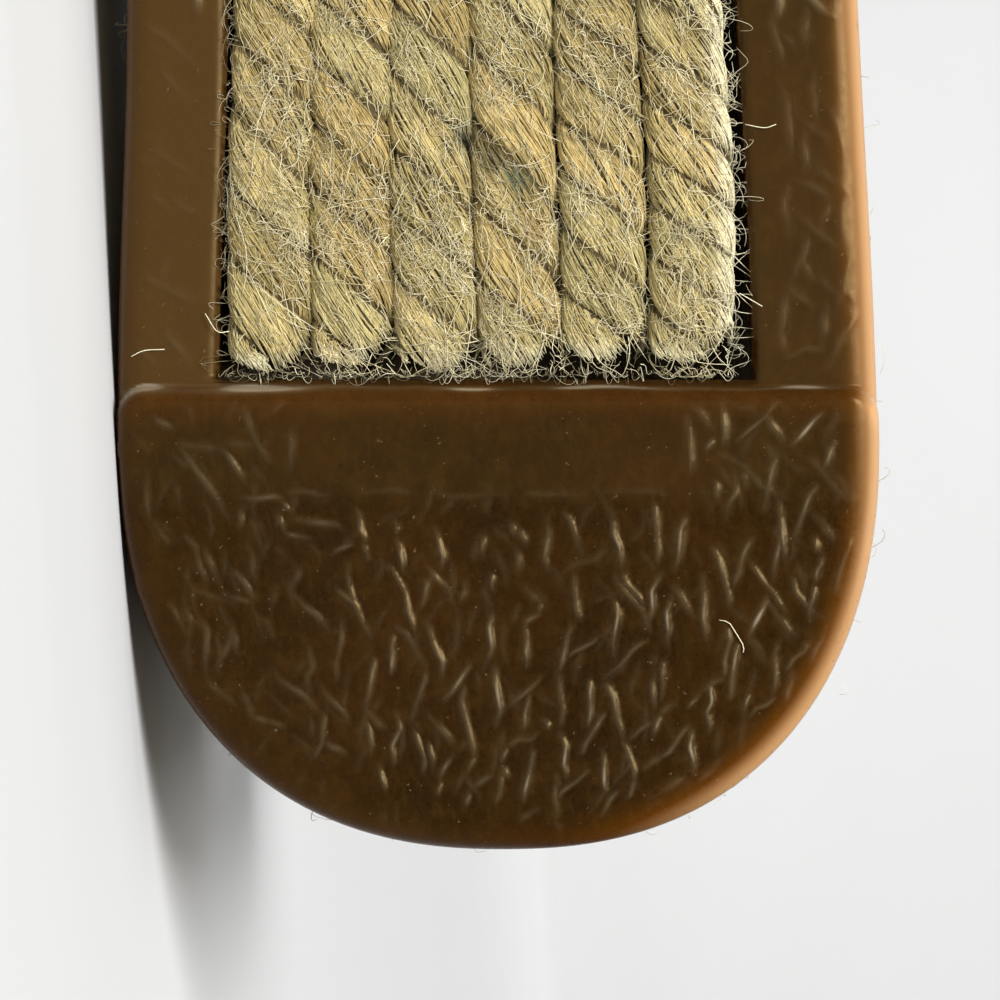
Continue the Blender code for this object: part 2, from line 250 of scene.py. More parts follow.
def outline(inset=0.0, points=OUTLINE_POINTS):
    """Plan loop of the sole at even steps, up the outer side to the toe and back, moved in by inset."""
    turn = np.linspace(0, np.pi / 2, END_TURNS)
    heel = HEEL_ROUND * (1 - np.cos(turn) ** (2 / HEEL_FULLNESS))
    toe = SOLE_LENGTH - TOE_ROUND * (1 - np.cos(turn[::-1]) ** (2 / TOE_FULLNESS))
    waist = np.linspace(HEEL_ROUND, SOLE_LENGTH - TOE_ROUND, WAIST_POINTS)[1:-1]
    along = np.concatenate([heel, waist, toe])
    outer = np.column_stack([centre(along) + half_width(along), along])
    inner = np.column_stack([centre(along) - half_width(along), along])[::-1]
    loop = np.vstack([outer, inner[1:]])
    walked = walked_along(loop)
    loop = read_along(walked, loop, np.linspace(0, walked[-1], points, endpoint=False))
    return loop + inset * inward(loop)


def inward(loop):
    """Unit vectors that point in from each point of a closed plan loop."""
    tangent = np.roll(loop, -1, axis=0) - np.roll(loop, 1, axis=0)
    tangent /= np.linalg.norm(tangent, axis=1)[:, None]
    return np.column_stack([-tangent[:, 1], tangent[:, 0]])


def shoe_matrix():
    """Places the shoe's frame, in millimetres, in the lying shoe's, in metres, by its tread mounts."""
    mounts = {mount["name"]: mount for mount in frame["record"]["mounts"]}
    heel = Vector(mounts["heel_tread"]["pos_m"])
    ball = Vector(mounts["forefoot_tread"]["pos_m"])
    along = (ball - heel).normalized()
    up = -Vector(mounts["heel_tread"]["axis"]).normalized()
    across = along.cross(up)
    origin = heel - along * HEEL_MOUNT_ALONG * MM
    turn = Matrix((across, along, up)).transposed().to_4x4()
    return Matrix.Translation(origin) @ turn @ Matrix.Scale(MM, 4)


SHOE = shoe_matrix()
SHOE_TURN = SHOE.to_3x3().normalized()


def read_each(items, key, width=1, kind=np.float32):
    """One property of all points, edges, faces or corners of a mesh, as an array."""
    values = np.empty(len(items) * width, kind)
    items.foreach_get(key, values)
    return values.reshape(-1, width) if width > 1 else values


def coordinates(mesh):
    return read_each(mesh.vertices, "co", 3).astype(float)


def set_coordinates(mesh, points):
    mesh.vertices.foreach_set("co", np.asarray(points, np.float32).ravel())
    mesh.update()


def keep_layer(mesh, name, kind, key, values):
    """Stores a value at each point of a mesh, for its material."""
    layer = mesh.attributes.new(name, kind, "POINT")
    layer.data.foreach_set(key, np.asarray(values, np.float32).ravel())


def keep_value(mesh, name, values):
    keep_layer(mesh, name, "FLOAT", "value", values)


def keep_lay(mesh, lay):
    """Stores places along the lay of a rope or thread, for its fine lines."""
    keep_layer(mesh, "lay", "FLOAT_VECTOR", "vector", lay)


def keep_jute(mesh, colours, lay):
    """Stores what the jute's material reads: a linear colour and a place along the lay."""
    opaque = np.column_stack([colours, np.ones(len(colours))])
    keep_layer(mesh, "tint", "FLOAT_COLOR", "color", opaque)
    keep_lay(mesh, lay)


def deselect_all():
    for piece in bpy.context.selected_objects:
        piece.select_set(False)


def make_active(piece):
    deselect_all()
    piece.select_set(True)
    bpy.context.view_layer.objects.active = piece


def enter_edit(piece, kind):
    """Opens a piece in edit mode, with points, edges or faces as what is selected."""
    make_active(piece)
    kinds = ("VERT", "EDGE", "FACE")
    bpy.context.tool_settings.mesh_select_mode = tuple(kind == k for k in kinds)
    bpy.ops.object.mode_set(mode="EDIT")


def leave_edit():
    bpy.ops.object.mode_set(mode="OBJECT")


def select(piece, faces=None, edges=None):
    """Selects just these faces or edges of a piece, by a flag for each."""
    mesh = piece.data
    for items, flags in ((mesh.vertices, None), (mesh.edges, edges), (mesh.polygons, faces)):
        items.foreach_set("select", np.zeros(len(items), bool) if flags is None else flags)


def selected_points(piece):
    return read_each(piece.data.vertices, "select", kind=bool)


def edge_points(mesh):
    return read_each(mesh.edges, "vertices", 2, np.int32)


def open_edges(mesh):
    """Flags of the edges that have a face on one side only."""
    used = read_each(mesh.loops, "edge_index", kind=np.int32)
    return np.bincount(used, minlength=len(mesh.edges)) == 1


def face_centres(mesh):
    return read_each(mesh.polygons, "center", 3).astype(float)


def finish_piece(piece, material, slot, *nodes):
    """Lays a piece of the shoe's frame on its side, gives it its material, and ties it to the frame."""
    piece.data.transform(SHOE)
    points = coordinates(piece.data)
    points[:, 2] = np.maximum(points[:, 2], FLOOR_CLEAR)
    set_coordinates(piece.data, points)
    dress_piece(piece, material, slot, *nodes)


def dress_piece(piece, material, slot, *nodes):
    piece.data.materials.clear()
    piece.data.materials.append(material)
    piece.data.shade_smooth()
    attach(piece, "root")
    if nodes:
        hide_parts(*nodes)


def mesh_piece(name, points, faces):
    mesh = bpy.data.meshes.new(name)
    mesh.from_pydata(points.tolist(), [], faces)
    piece = bpy.data.objects.new(name, mesh)
    bpy.context.collection.objects.link(piece)
    return piece


def unit(vectors):
    return vectors / (np.linalg.norm(vectors, axis=-1)[..., None] + TINY)


def tubes(paths, radii, sides):
    """Points and faces of many closed tubes that have as many stations each, from arrays."""
    count, stations, _ = paths.shape
    tangent = unit(np.gradient(paths, axis=1))
    side = unit(np.cross(tangent, TUBE_ASIDE))
    up = np.cross(side, tangent)
    turn = 2 * np.pi * np.arange(sides) / sides
    around = np.cos(turn)[:, None] * side[:, :, None] + np.sin(turn)[:, None] * up[:, :, None]
    points = paths[:, :, None] + radii[:, :, None, None] * around
    index = np.arange(count * stations * sides).reshape(count, stations, sides)
    low, high = index[:, :-1], index[:, 1:]
    walls = np.stack([low, high, np.roll(high, -1, axis=2), np.roll(low, -1, axis=2)], axis=3)
    faces = walls.reshape(-1, 4).tolist() + index[:, 0].tolist() + index[:, -1, ::-1].tolist()
    return points.reshape(-1, 3), faces


def join_shapes(shapes):
    """One list of points and one of faces from several."""
    points = np.vstack([shape[0] for shape in shapes])
    faces = []
    start = 0
    for shape_points, shape_faces in shapes:
        faces += [[start + corner for corner in face] for face in shape_faces]
        start += len(shape_points)
    return points, faces


class Shader:
    """A material under construction, with short calls for its nodes."""

    def __init__(self, name):
        self.material = bpy.data.materials.new(name)
        self.material.use_nodes = True
        self.tree = self.material.node_tree
        self.surface = self.tree.nodes["Principled BSDF"]

    def node(self, kind, **settings):
        made = self.tree.nodes.new("ShaderNode" + kind)
        for key, value in settings.items():
            setattr(made, key, value)
        return made

    def put(self, value, socket):
        """Feeds a socket from another socket, or sets it to a value."""
        if isinstance(value, bpy.types.NodeSocket):
            self.tree.links.new(value, socket)
        else:
            socket.default_value = value

    def attribute(self, name, output="Fac"):
        return self.node("Attribute", attribute_name=name).outputs[output]

    def place(self):
        return self.node("TexCoord").outputs["Object"]

    def stretched(self, vector, scale):
        made = self.node("Mapping")
        self.put(vector, made.inputs["Vector"])
        made.inputs["Scale"].default_value = scale
        return made.outputs["Vector"]

    def noise(self, vector, scale, detail=3.0, roughness=0.55):
        made = self.node("TexNoise")
        self.put(vector, made.inputs["Vector"])
        made.inputs["Scale"].default_value = scale
        made.inputs["Detail"].default_value = detail
        made.inputs["Roughness"].default_value = roughness
        return made.outputs["Fac"]

    def math(self, operation, first, second=0.0):
        made = self.node("Math", operation=operation)
        self.put(first, made.inputs[0])
        self.put(second, made.inputs[1])
        return made.outputs[0]

    def between(self, value, low, high, to_low=0.0, to_high=1.0):
        """Value from low to high, carried to another range and held at its ends."""
        made = self.node("MapRange")
        for socket, setting in zip(made.inputs, (value, low, high, to_low, to_high)):
            self.put(setting, socket)
        return made.outputs[0]

    def mix(self, share, first, second, blend="MIX"):
        made = self.node("Mix", data_type="RGBA", blend_type=blend)
        self.put(share, made.inputs[MIX_SHARE])
        self.put(first, made.inputs[MIX_FIRST])
        self.put(second, made.inputs[MIX_SECOND])
        return made.outputs[MIX_RESULT]

    def bump(self, height, distance, strength=1.0, normal=None):
        made = self.node("Bump")
        made.inputs["Strength"].default_value = strength
        made.inputs["Distance"].default_value = distance
        self.put(height, made.inputs["Height"])
        if normal is not None:
            self.put(normal, made.inputs["Normal"])
        return made.outputs["Normal"]

    def set(self, **inputs):
        """Sets the surface's sockets, named with underscores for spaces."""
        for key, value in inputs.items():
            self.put(value, self.surface.inputs[key.replace("_", " ")])


# Linear colours of the rubber, from its dark body to its lit edge, whose glow is painted light
RUBBER_DARK = (0.0085, 0.0028, 0.0001, 1)
RUBBER_DEEP = (0.020, 0.0066, 0.0003, 1)
RUBBER_PATCH = (0.021, 0.0060, 0.0010, 1)
RUBBER_MOTTLE = (0.040, 0.0165, 0.0020, 1)
RUBBER_STREAK = (0.052, 0.025, 0.006, 1)
RUBBER_DUST = (0.080, 0.042, 0.0115, 1)
RUBBER_GRAIN = (0.044, 0.0175, 0.0020, 1)
# Worn colour of the rubbed specks, also laid on the crests as painted sheen
RUBBER_WORN_AND_PAINTED_SHEEN = (0.135, 0.098, 0.052, 1)
# Painted highlight on the highest crests
RUBBER_PAINTED_HIGHLIGHT = (0.34, 0.29, 0.21, 1)
RUBBER_THIN = (0.24, 0.074, 0.005, 1)
# Painted glow: the pale amber of the rubber's lit edge
RUBBER_PAINTED_GLOW = (0.65, 0.36, 0.155, 1)
RUBBER_SHINE = (1.0, 0.72, 0.34, 1)
STREAK_STRETCH = (700.0, 700.0, 2000.0)


def rubber_material():
    """Dark translucent gum rubber: amber where it is thin, with painted glow on its lit edge and at the
    pads' steps, painted highlights on its crests, hazy on the rails, and satin all over.
    """
    shader = Shader("gum_rubber")
    place = shader.place()
    amber_and_painted_glow = shader.attribute("amber_and_painted_glow")
    haze = shader.attribute("haze")
    relief_and_painted_highlight = shader.attribute("relief_and_painted_highlight")
    cloud = shader.noise(place, scale=90.0, detail=4.0, roughness=0.6)
    fine = shader.noise(place, scale=1400.0, detail=3.0, roughness=0.6)
    patches = shader.noise(place, scale=45.0, detail=2.0, roughness=0.5)
    mottle = shader.noise(place, scale=520.0, detail=3.0, roughness=0.65)
    streaks = shader.noise(shader.stretched(place, STREAK_STRETCH), scale=1.0, detail=3.0, roughness=0.6)
    grain = shader.noise(place, scale=3600.0, detail=2.0, roughness=0.6)
    specks = shader.noise(place, scale=2300.0, detail=1.0, roughness=0.5)
    colour = shader.mix(shader.between(cloud, 0.35, 0.7), RUBBER_DARK, RUBBER_DEEP)
    colour = shader.mix(shader.between(patches, 0.5, 0.68, to_high=0.6), colour, RUBBER_PATCH)
    colour = shader.mix(shader.between(mottle, 0.46, 0.72, to_high=0.55), colour, RUBBER_MOTTLE)
    colour = shader.mix(shader.between(streaks, 0.5, 0.75, to_high=0.3), colour, RUBBER_STREAK)
    colour = shader.mix(haze, colour, RUBBER_DUST)
    colour = shader.mix(shader.between(grain, 0.3, 0.7, to_high=0.30), colour, RUBBER_GRAIN)
    # Lighter crests and specks: the specks are wear, the crests partly wear and partly painted highlight
    crests = shader.math("MULTIPLY", shader.math("POWER", relief_and_painted_highlight, 1.4), 0.72)
    rubbed_and_painted_sheen = shader.math("MAXIMUM", crests, shader.between(specks, 0.74, 0.80, to_high=0.6))
    colour = shader.mix(rubbed_and_painted_sheen, colour, RUBBER_WORN_AND_PAINTED_SHEEN)
    # Painted highlight on the highest crests
    colour = shader.mix(shader.between(relief_and_painted_highlight, 0.66, 1.05, to_high=0.42), colour, RUBBER_PAINTED_HIGHLIGHT)
    # Painted glow: pale where light is painted through the lit edge, deep amber where the rubber is only
    # thin
    glow = shader.mix(shader.between(amber_and_painted_glow, 0.3, 0.8), RUBBER_THIN, RUBBER_PAINTED_GLOW)
    shader.set(Base_Color=shader.mix(amber_and_painted_glow, colour, glow))
    rough = shader.between(fine, 0.3, 0.7, to_low=0.25, to_high=0.34)
    shader.set(Roughness=shader.math("ADD", rough, shader.math("MULTIPLY", haze, 0.12)))
    pits = shader.bump(fine, distance=0.00002, strength=0.6)
    shader.set(Normal=shader.bump(cloud, distance=0.00012, strength=0.5, normal=pits))
    shader.set(Specular_IOR_Level=0.20, Specular_Tint=RUBBER_SHINE)
    shader.set(Subsurface_Weight=0.22, Subsurface_Radius=(1.0, 0.42, 0.12), Subsurface_Scale=0.0012)
    return shader.material


def jute_material():
    """Dry jute: each fibre has its own tint, with fine lines along it."""
    shader = Shader("jute_rope")
    lay = shader.attribute("lay", "Vector")
    lines = shader.noise(shader.stretched(lay, (7.0, 0.35, 1.0)), scale=1.0, detail=3.0, roughness=0.7)
    mottle = shader.noise(shader.place(), scale=700.0, detail=3.0, roughness=0.6)
    tint = shader.attribute("tint", "Color")
    shade = shader.between(lines, 0.3, 0.72, to_low=0.72, to_high=1.15)
    cloud = shader.between(mottle, 0.3, 0.7, to_low=0.84, to_high=1.1)
    level = shader.node("CombineColor")
    for socket in level.inputs:
        shader.put(shader.math("MULTIPLY", shade, cloud), socket)
    shader.set(Base_Color=shader.mix(1.0, tint, level.outputs[0], "MULTIPLY"))
    shader.set(Normal=shader.bump(lines, distance=0.00012, strength=0.8))
    shader.set(Roughness=shader.between(mottle, 0.3, 0.7, to_low=0.62, to_high=0.85))
    shader.set(Specular_IOR_Level=0.2, Sheen_Weight=0.03)
    return shader.material


class Weave(NamedTuple):
    """A plain weave: the linear colours of its yarn, and its pitch and depth in millimetres."""

    name: str
    light: tuple
    dark: tuple
    pitch: float
    depth: float


CANVAS = Weave("canvas", (0.72, 0.64, 0.50, 1), (0.52, 0.45, 0.33, 1), 0.85, 0.22)
INSOLE_CLOTH = Weave("insole_jute_cloth", (0.62, 0.51, 0.33, 1), (0.42, 0.33, 0.19, 1), 1.3, 0.4)
SLUB_LONG = 0.10
SLUB_SHORT = 1.6
HEM_STEP = (6.0, 6.5)
HEM_EDGE = 6.5
SEAM_STEP = (-0.25, 0.25)
SEAM_SHADE = 0.3
FOLD_HIGH = 0.0005
FOLD_LINE_WIDE = 0.6
FOLD_LINE_DARK = 0.4
CREASE_DARK = 0.22


def fold_line(shader, off):
    """Share of the shade along the edge of a fold, from the distance off it."""
    return shader.between(shader.math("ABSOLUTE", off), 0.0, FOLD_LINE_WIDE, FOLD_LINE_DARK, 0.0)


def yarn_height(shader, place, slubs):
    """Height of the yarns that lie one way, rounded and uneven."""
    rounded = shader.math("ABSOLUTE", shader.math("SINE", place))
    return shader.math("MULTIPLY", rounded, shader.between(slubs, 0.25, 0.75, to_low=0.7))


def weave_material(weave, sewn=False):
    """Plain weave on the piece's own map in millimetres, with painted shade between its yarns, and the
    hem and seams of a sewn piece, with painted shade along them and in its creases.
    """
    shader = Shader(weave.name)
    cloth = shader.node("UVMap", uv_map="cloth").outputs["UV"]
    split = shader.node("SeparateXYZ")
    shader.put(cloth, split.inputs[0])
    slubs, slubs_across = (
        shader.noise(shader.stretched(cloth, stretch), scale=1.0, detail=3.0, roughness=0.6)
        for stretch in ((SLUB_LONG, SLUB_SHORT, 1.0), (SLUB_SHORT, SLUB_LONG, 1.0))
    )
    warp, weft = (shader.math("MULTIPLY", way, math.pi / weave.pitch) for way in split.outputs[:2])
    over = shader.math("MULTIPLY", shader.math("COSINE", warp), shader.math("COSINE", weft))
    mixed = shader.node("Mix", data_type="FLOAT")
    shader.put(shader.between(over, -0.25, 0.25), mixed.inputs[0])
    shader.put(yarn_height(shader, warp, slubs_across), mixed.inputs[2])
    shader.put(yarn_height(shader, weft, slubs), mixed.inputs[3])
    height = mixed.outputs[0]
    colour = shader.mix(shader.between(slubs, 0.3, 0.7), weave.dark, weave.light)
    colour = shader.mix(shader.between(slubs_across, 0.35, 0.75, to_high=0.5), colour, weave.light)
    cloud = shader.noise(shader.place(), scale=60.0, detail=3.0, roughness=0.6)
    colour = shader.mix(shader.between(cloud, 0.4, 0.75, to_high=0.18), colour, weave.dark)
    # Painted shade: darker where the yarns lie low, between them
    shade = tuple(0.4 * value for value in weave.dark[:3]) + (1,)
    colour = shader.mix(shader.between(height, 0.05, 0.5, to_low=0.55, to_high=0.0), colour, shade)
    folds = None
    if sewn:
        hem = shader.attribute("hem")
        seam = shader.attribute("seam")
        hem_fold = shader.between(hem, *HEM_STEP, 1.0, 0.0)
        steps = shader.math("ADD", hem_fold, shader.between(seam, *SEAM_STEP))
        folds = shader.bump(steps, distance=FOLD_HIGH)
        # Painted shade along the hem's edge and beside the seam
        hem_line = fold_line(shader, shader.math("SUBTRACT", hem, HEM_EDGE))
        seam_line = fold_line(shader, shader.math("ADD", seam, SEAM_SHADE))
        colour = shader.mix(shader.math("MAXIMUM", hem_line, seam_line), colour, shade)
        # Painted shade in the troughs of the creases
        creased = shader.math("MULTIPLY", shader.attribute("crease"), CREASE_DARK)
        colour = shader.mix(creased, colour, shade)
    shader.set(Base_Color=colour)
    shader.set(Normal=shader.bump(height, distance=weave.depth * MM, strength=0.9, normal=folds))
    shader.set(Roughness=shader.between(slubs, 0.2, 0.8, to_low=0.8, to_high=0.95))
    shader.set(Specular_IOR_Level=0.2, Sheen_Weight=0.15)
    return shader.material


THREAD_DARK = (0.42, 0.34, 0.21, 1)
THREAD_LIGHT = (0.70, 0.62, 0.46, 1)


def thread_material():
    """Twisted cotton thread of the stitches."""
    shader = Shader("stitch_thread")
    lay = shader.attribute("lay", "Vector")
    ply = shader.noise(shader.stretched(lay, (2.5, 1.2, 1.0)), scale=1.0, detail=2.0, roughness=0.6)
    shader.set(Base_Color=shader.mix(shader.between(ply, 0.3, 0.7), THREAD_DARK, THREAD_LIGHT))
    shader.set(Normal=shader.bump(ply, distance=0.0002, strength=0.8))
    shader.set(Roughness=0.85, Specular_IOR_Level=0.25)
    return shader.material


class Ridge(NamedTuple):
    """One crepe ridge: its line in plan, its height along the line, and its half width."""

    line: np.ndarray
    height: np.ndarray
    width: float


class RidgeRow(NamedTuple):
    """One crepe ridge of the heel: its front end, its back end, and its share of the full height."""

    across: float
    along: float
    to_across: float
    to_along: float
    share: float


# Inner half of the heel pad, outer half, back edge, inner rail and outer rail
HEEL_RIDGES = tuple(RidgeRow(*row) for row in (
    (-15.8, 36.3, -16.1, 31.4, 0.8), (-18.8, 38.0, -18.9, 33.6, 0.8), (-16.4, 37.2, -18.2, 35.0, 0.5),
    (-18.0, 34.4, -17.4, 33.3, 0.8), (-23.4, 37.6, -19.8, 34.0, 0.75), (-22.4, 36.6, -23.9, 33.8, 0.6),
    (-26.9, 36.5, -24.6, 33.8, 1.1), (-18.3, 33.2, -24.3, 29.2, 0.45), (-23.4, 33.4, -22.3, 28.3, 0.8),
    (-20.1, 31.3, -19.1, 27.6, 0.7), (-20.6, 31.6, -20.8, 30.4, 0.6), (-18.3, 31.0, -18.3, 29.0, 0.7),
    (-28.0, 34.2, -27.3, 32.0, 0.9), (-26.0, 32.8, -29.3, 29.1, 0.5), (-26.6, 30.5, -24.6, 25.8, 0.9),
    (-23.5, 29.2, -24.0, 24.0, 0.9), (-23.1, 27.1, -23.0, 22.4, 0.8), (-26.2, 28.2, -28.0, 25.7, 0.5),
    (-26.5, 26.3, -26.7, 24.8, 0.8), (-27.0, 24.6, -26.6, 22.5, 1.0), (-26.4, 22.1, -26.0, 19.5, 1.0),
    (-29.5, 25.7, -28.2, 21.5, 0.9), (-13.1, 29.0, -13.4, 24.0, 0.9), (-15.7, 27.9, -14.8, 23.3, 1.0),
    (-9.6, 28.4, -10.4, 23.5, 0.9), (-10.5, 23.2, -12.2, 20.6, 0.8), (-13.8, 23.3, -12.6, 18.9, 1.0),
    (-4.2, 28.0, -4.4, 23.2, 0.8), (-5.6, 28.3, -7.1, 24.9, 0.7), (-1.2, 27.6, -1.5, 26.3, 0.6),
    (-1.9, 27.0, -2.5, 25.5, 0.6), (-1.7, 25.3, -1.9, 23.3, 0.6), (-6.5, 23.0, -7.0, 19.3, 0.8),
    (-9.8, 22.8, -12.7, 18.4, 0.7), (-9.7, 21.4, -9.8, 16.2, 1.0), (-14.6, 21.3, -14.2, 17.2, 1.0),
    (-14.8, 22.2, -16.6, 19.3, 0.6), (-17.1, 23.1, -17.5, 17.5, 0.9), (-17.9, 25.5, -19.4, 20.4, 0.9),
    (-21.2, 26.2, -19.7, 22.1, 0.9), (-21.0, 24.3, -24.0, 19.9, 0.65), (-24.7, 22.9, -26.1, 18.9, 0.8),
    (-22.5, 21.3, -21.0, 17.9, 1.2), (-22.3, 21.0, -25.1, 17.8, 0.55), (-19.1, 18.8, -19.0, 14.4, 0.9),
    (-19.0, 14.4, -17.7, 13.8, 0.7), (-20.0, 17.3, -19.5, 12.8, 1.1), (-20.9, 17.8, -22.4, 15.6, 0.5),
    (-23.4, 17.4, -23.0, 13.1, 0.8), (-25.7, 17.5, -24.2, 15.1, 0.9), (-24.5, 15.0, -24.1, 12.4, 0.8),
    (-27.4, 18.7, -26.2, 15.6, 0.8), (-20.9, 13.2, -20.6, 11.6, 0.9), (-17.7, 14.0, -17.8, 10.1, 1.2),
    (-16.9, 13.2, -15.9, 11.9, 0.8), (-13.8, 16.0, -13.7, 12.6, 0.8), (-13.1, 14.7, -13.2, 11.7, 0.8),
    (-12.4, 17.6, -9.0, 14.5, 0.8), (-9.0, 14.0, -10.5, 9.5, 1.0), (-3.7, 21.1, -3.6, 20.0, 0.7),
    (-3.6, 19.9, -2.3, 18.9, 0.8), (-2.3, 18.9, -2.6, 15.3, 0.9), (-6.4, 18.9, -5.2, 15.0, 0.9),
    (-5.2, 15.0, -5.3, 10.4, 0.8), (-8.8, 18.3, -5.7, 15.9, 0.7), (-7.7, 14.3, -7.6, 10.5, 1.1),
    (-4.0, 14.9, -0.8, 12.0, 0.7), (-2.7, 13.4, -2.3, 10.2, 1.0), (-5.7, 23.4, -9.3, 25.3, 0.5),
    (-2.3, 22.1, -3.7, 20.5, 0.5),

    (21.1, 37.2, 18.9, 32.4, 0.6), (23.1, 33.9, 20.9, 30.7, 0.7), (22.8, 34.1, 18.9, 34.1, 0.4),
    (28.5, 36.3, 27.0, 35.1, 0.6), (26.4, 34.0, 23.1, 33.5, 0.5), (26.5, 33.9, 22.1, 27.5, 0.6),
    (17.1, 35.3, 17.3, 31.3, 0.5), (21.2, 29.5, 17.9, 29.4, 0.8), (17.9, 29.3, 16.9, 28.2, 0.7),
    (21.1, 28.9, 21.4, 26.9, 0.6), (20.5, 27.7, 19.7, 25.5, 0.5), (18.1, 28.5, 17.8, 26.5, 0.7),
    (16.9, 27.9, 12.6, 26.8, 0.6), (17.7, 26.6, 15.5, 26.1, 0.7), (11.7, 28.6, 10.8, 25.7, 0.9),
    (11.8, 25.7, 13.9, 24.7, 0.7), (11.0, 25.7, 10.7, 24.3, 0.7), (8.4, 27.7, 8.3, 26.5, 0.7),
    (8.3, 26.0, 7.8, 23.3, 1.0), (5.1, 27.1, 4.6, 23.6, 0.9), (1.0, 26.5, 1.3, 24.5, 0.8),
    (5.7, 23.7, 3.7, 20.7, 0.75), (5.8, 22.7, 6.3, 20.3, 0.9), (2.5, 22.5, 2.9, 20.7, 0.6),
    (0.5, 23.3, 0.3, 21.7, 0.8), (8.9, 23.9, 6.7, 18.0, 0.9), (12.3, 24.0, 11.8, 20.5, 0.8),
    (13.4, 21.9, 10.4, 17.8, 0.8), (16.4, 23.6, 17.1, 21.7, 0.6), (17.1, 21.6, 13.8, 18.4, 0.6),
    (12.9, 19.2, 13.3, 14.3, 0.7), (8.6, 18.1, 8.8, 14.8, 1.1), (8.5, 18.7, 5.8, 15.4, 0.6),
    (5.8, 15.4, 7.1, 10.8, 0.7), (5.8, 19.2, 4.6, 14.4, 0.9), (3.1, 19.7, 3.7, 16.3, 0.5),
    (0.3, 20.0, 0.9, 15.6, 1.0), (10.2, 16.1, 11.0, 12.0, 1.0), (2.1, 15.7, 4.5, 12.6, 0.9),
    (0.2, 15.6, 0.1, 10.5, 1.0), (2.7, 13.7, 1.9, 8.0, 0.9), (11.1, 12.1, 9.3, 10.3, 0.6),
    (11.1, 11.5, 10.5, 7.9, 0.7), (14.3, 11.5, 15.2, 7.8, 0.8), (8.4, 11.7, 8.5, 7.3, 0.9),
    (5.7, 11.5, 3.4, 8.7, 0.6), (6.9, 10.2, 6.1, 6.6, 0.8), (18.7, 15.4, 14.7, 11.4, 0.55),
    (14.7, 14.1, 12.2, 10.5, 0.55), (15.7, 17.3, 15.4, 12.5, 0.5), (21.1, 13.3, 20.5, 11.3, 0.6),
    (20.5, 11.3, 17.7, 10.3, 0.6), (24.8, 19.6, 24.2, 14.5, 0.6), (24.2, 14.5, 21.8, 12.3, 0.5),
    (27.5, 20.9, 25.9, 17.9, 0.5), (26.1, 21.3, 25.4, 18.3, 0.5), (26.0, 26.3, 24.0, 22.3, 0.6),
    (24.3, 25.3, 23.1, 22.3, 0.55), (22.3, 23.9, 20.1, 20.9, 0.6), (20.7, 25.5, 19.8, 22.3, 0.5),
    (29.1, 31.9, 28.9, 27.5, 0.5), (28.8, 27.5, 27.1, 25.7, 0.5), (22.1, 19.1, 23.1, 14.5, 0.5),
    (22.1, 18.9, 21.3, 16.3, 0.5), (19.7, 19.5, 18.5, 17.7, 0.5), (22.9, 21.7, 20.1, 20.7, 0.5),
    (25.9, 21.9, 21.1, 20.9, 0.35), (18.3, 22.3, 18.7, 20.3, 0.4),

    (14.6, 9.4, 12.4, 7.9, 0.6), (5.7, 9.2, 5.3, 6.8, 0.7), (3.6, 8.1, 4.7, 5.9, 0.8),
    (4.7, 6.0, 4.8, 4.7, 0.8), (9.8, 7.3, 9.2, 4.9, 0.8), (1.8, 7.9, 2.4, 6.6, 0.8),
    (-0.9, 8.9, -0.4, 7.3, 0.8), (-0.4, 7.3, -1.0, 6.0, 0.6), (-3.5, 10.0, -0.9, 8.7, 0.7),
    (-3.0, 8.4, -2.2, 4.1, 1.0), (-0.4, 6.5, 0.0, 4.2, 0.8), (0.2, 6.5, 2.3, 5.0, 0.6),
    (2.3, 5.0, 2.5, 3.9, 0.8), (-3.5, 3.6, -2.0, 2.6, 0.5), (-3.9, 11.0, -4.4, 10.2, 0.8),
    (-5.2, 10.0, -5.9, 6.2, 1.0), (-9.0, 11.6, -7.1, 8.1, 0.9), (-10.5, 9.2, -11.4, 6.0, 1.0),
    (-11.4, 6.0, -11.0, 4.5, 0.9), (-8.8, 8.4, -9.2, 4.9, 1.1), (-7.6, 6.8, -5.0, 4.3, 0.8),
    (-4.9, 5.7, -5.0, 2.8, 0.7), (-10.1, 5.1, -8.7, 2.9, 0.7), (-13.6, 11.5, -13.1, 9.6, 0.9),
    (-14.8, 12.3, -13.7, 11.5, 0.6), (-12.9, 10.8, -11.0, 9.1, 0.7), (-15.9, 10.4, -13.7, 7.9, 0.9),
    (-13.7, 7.9, -12.1, 6.8, 0.6), (-16.2, 10.2, -16.5, 6.5, 1.1), (-23.1, 12.8, -20.9, 11.0, 0.7),
    (-18.7, 7.8, -16.7, 5.7, 0.5), (-15.6, 6.2, -13.9, 5.1, 0.6),

    (-23.3, 70.7, -23.6, 65.9, 0.6), (-25.9, 71.1, -25.7, 67.3, 0.6), (-23.8, 68.4, -25.3, 67.3, 0.5),
    (-23.6, 64.3, -24.5, 57.4, 0.6), (-26.5, 65.1, -26.6, 61.2, 0.7), (-24.6, 61.8, -28.2, 59.5, 0.4),
    (-25.7, 60.3, -25.6, 56.6, 0.8), (-27.6, 62.4, -29.1, 57.8, 0.5), (-24.6, 56.2, -28.0, 54.5, 0.6),
    (-26.4, 57.4, -30.3, 54.1, 0.5), (-24.4, 55.7, -24.3, 51.2, 0.7), (-27.8, 54.1, -26.8, 52.0, 0.7),
    (-28.7, 54.5, -28.7, 50.7, 0.5), (-24.7, 53.5, -28.7, 50.3, 0.5), (-26.0, 51.4, -24.4, 47.4, 0.8),
    (-25.3, 49.3, -26.6, 47.6, 0.6), (-26.8, 48.0, -30.1, 45.7, 0.5), (-29.5, 49.3, -28.4, 45.5, 0.8),
    (-24.1, 47.4, -26.8, 45.3, 0.5), (-24.2, 46.6, -23.9, 41.7, 0.9), (-27.6, 45.7, -26.9, 42.2, 0.8),
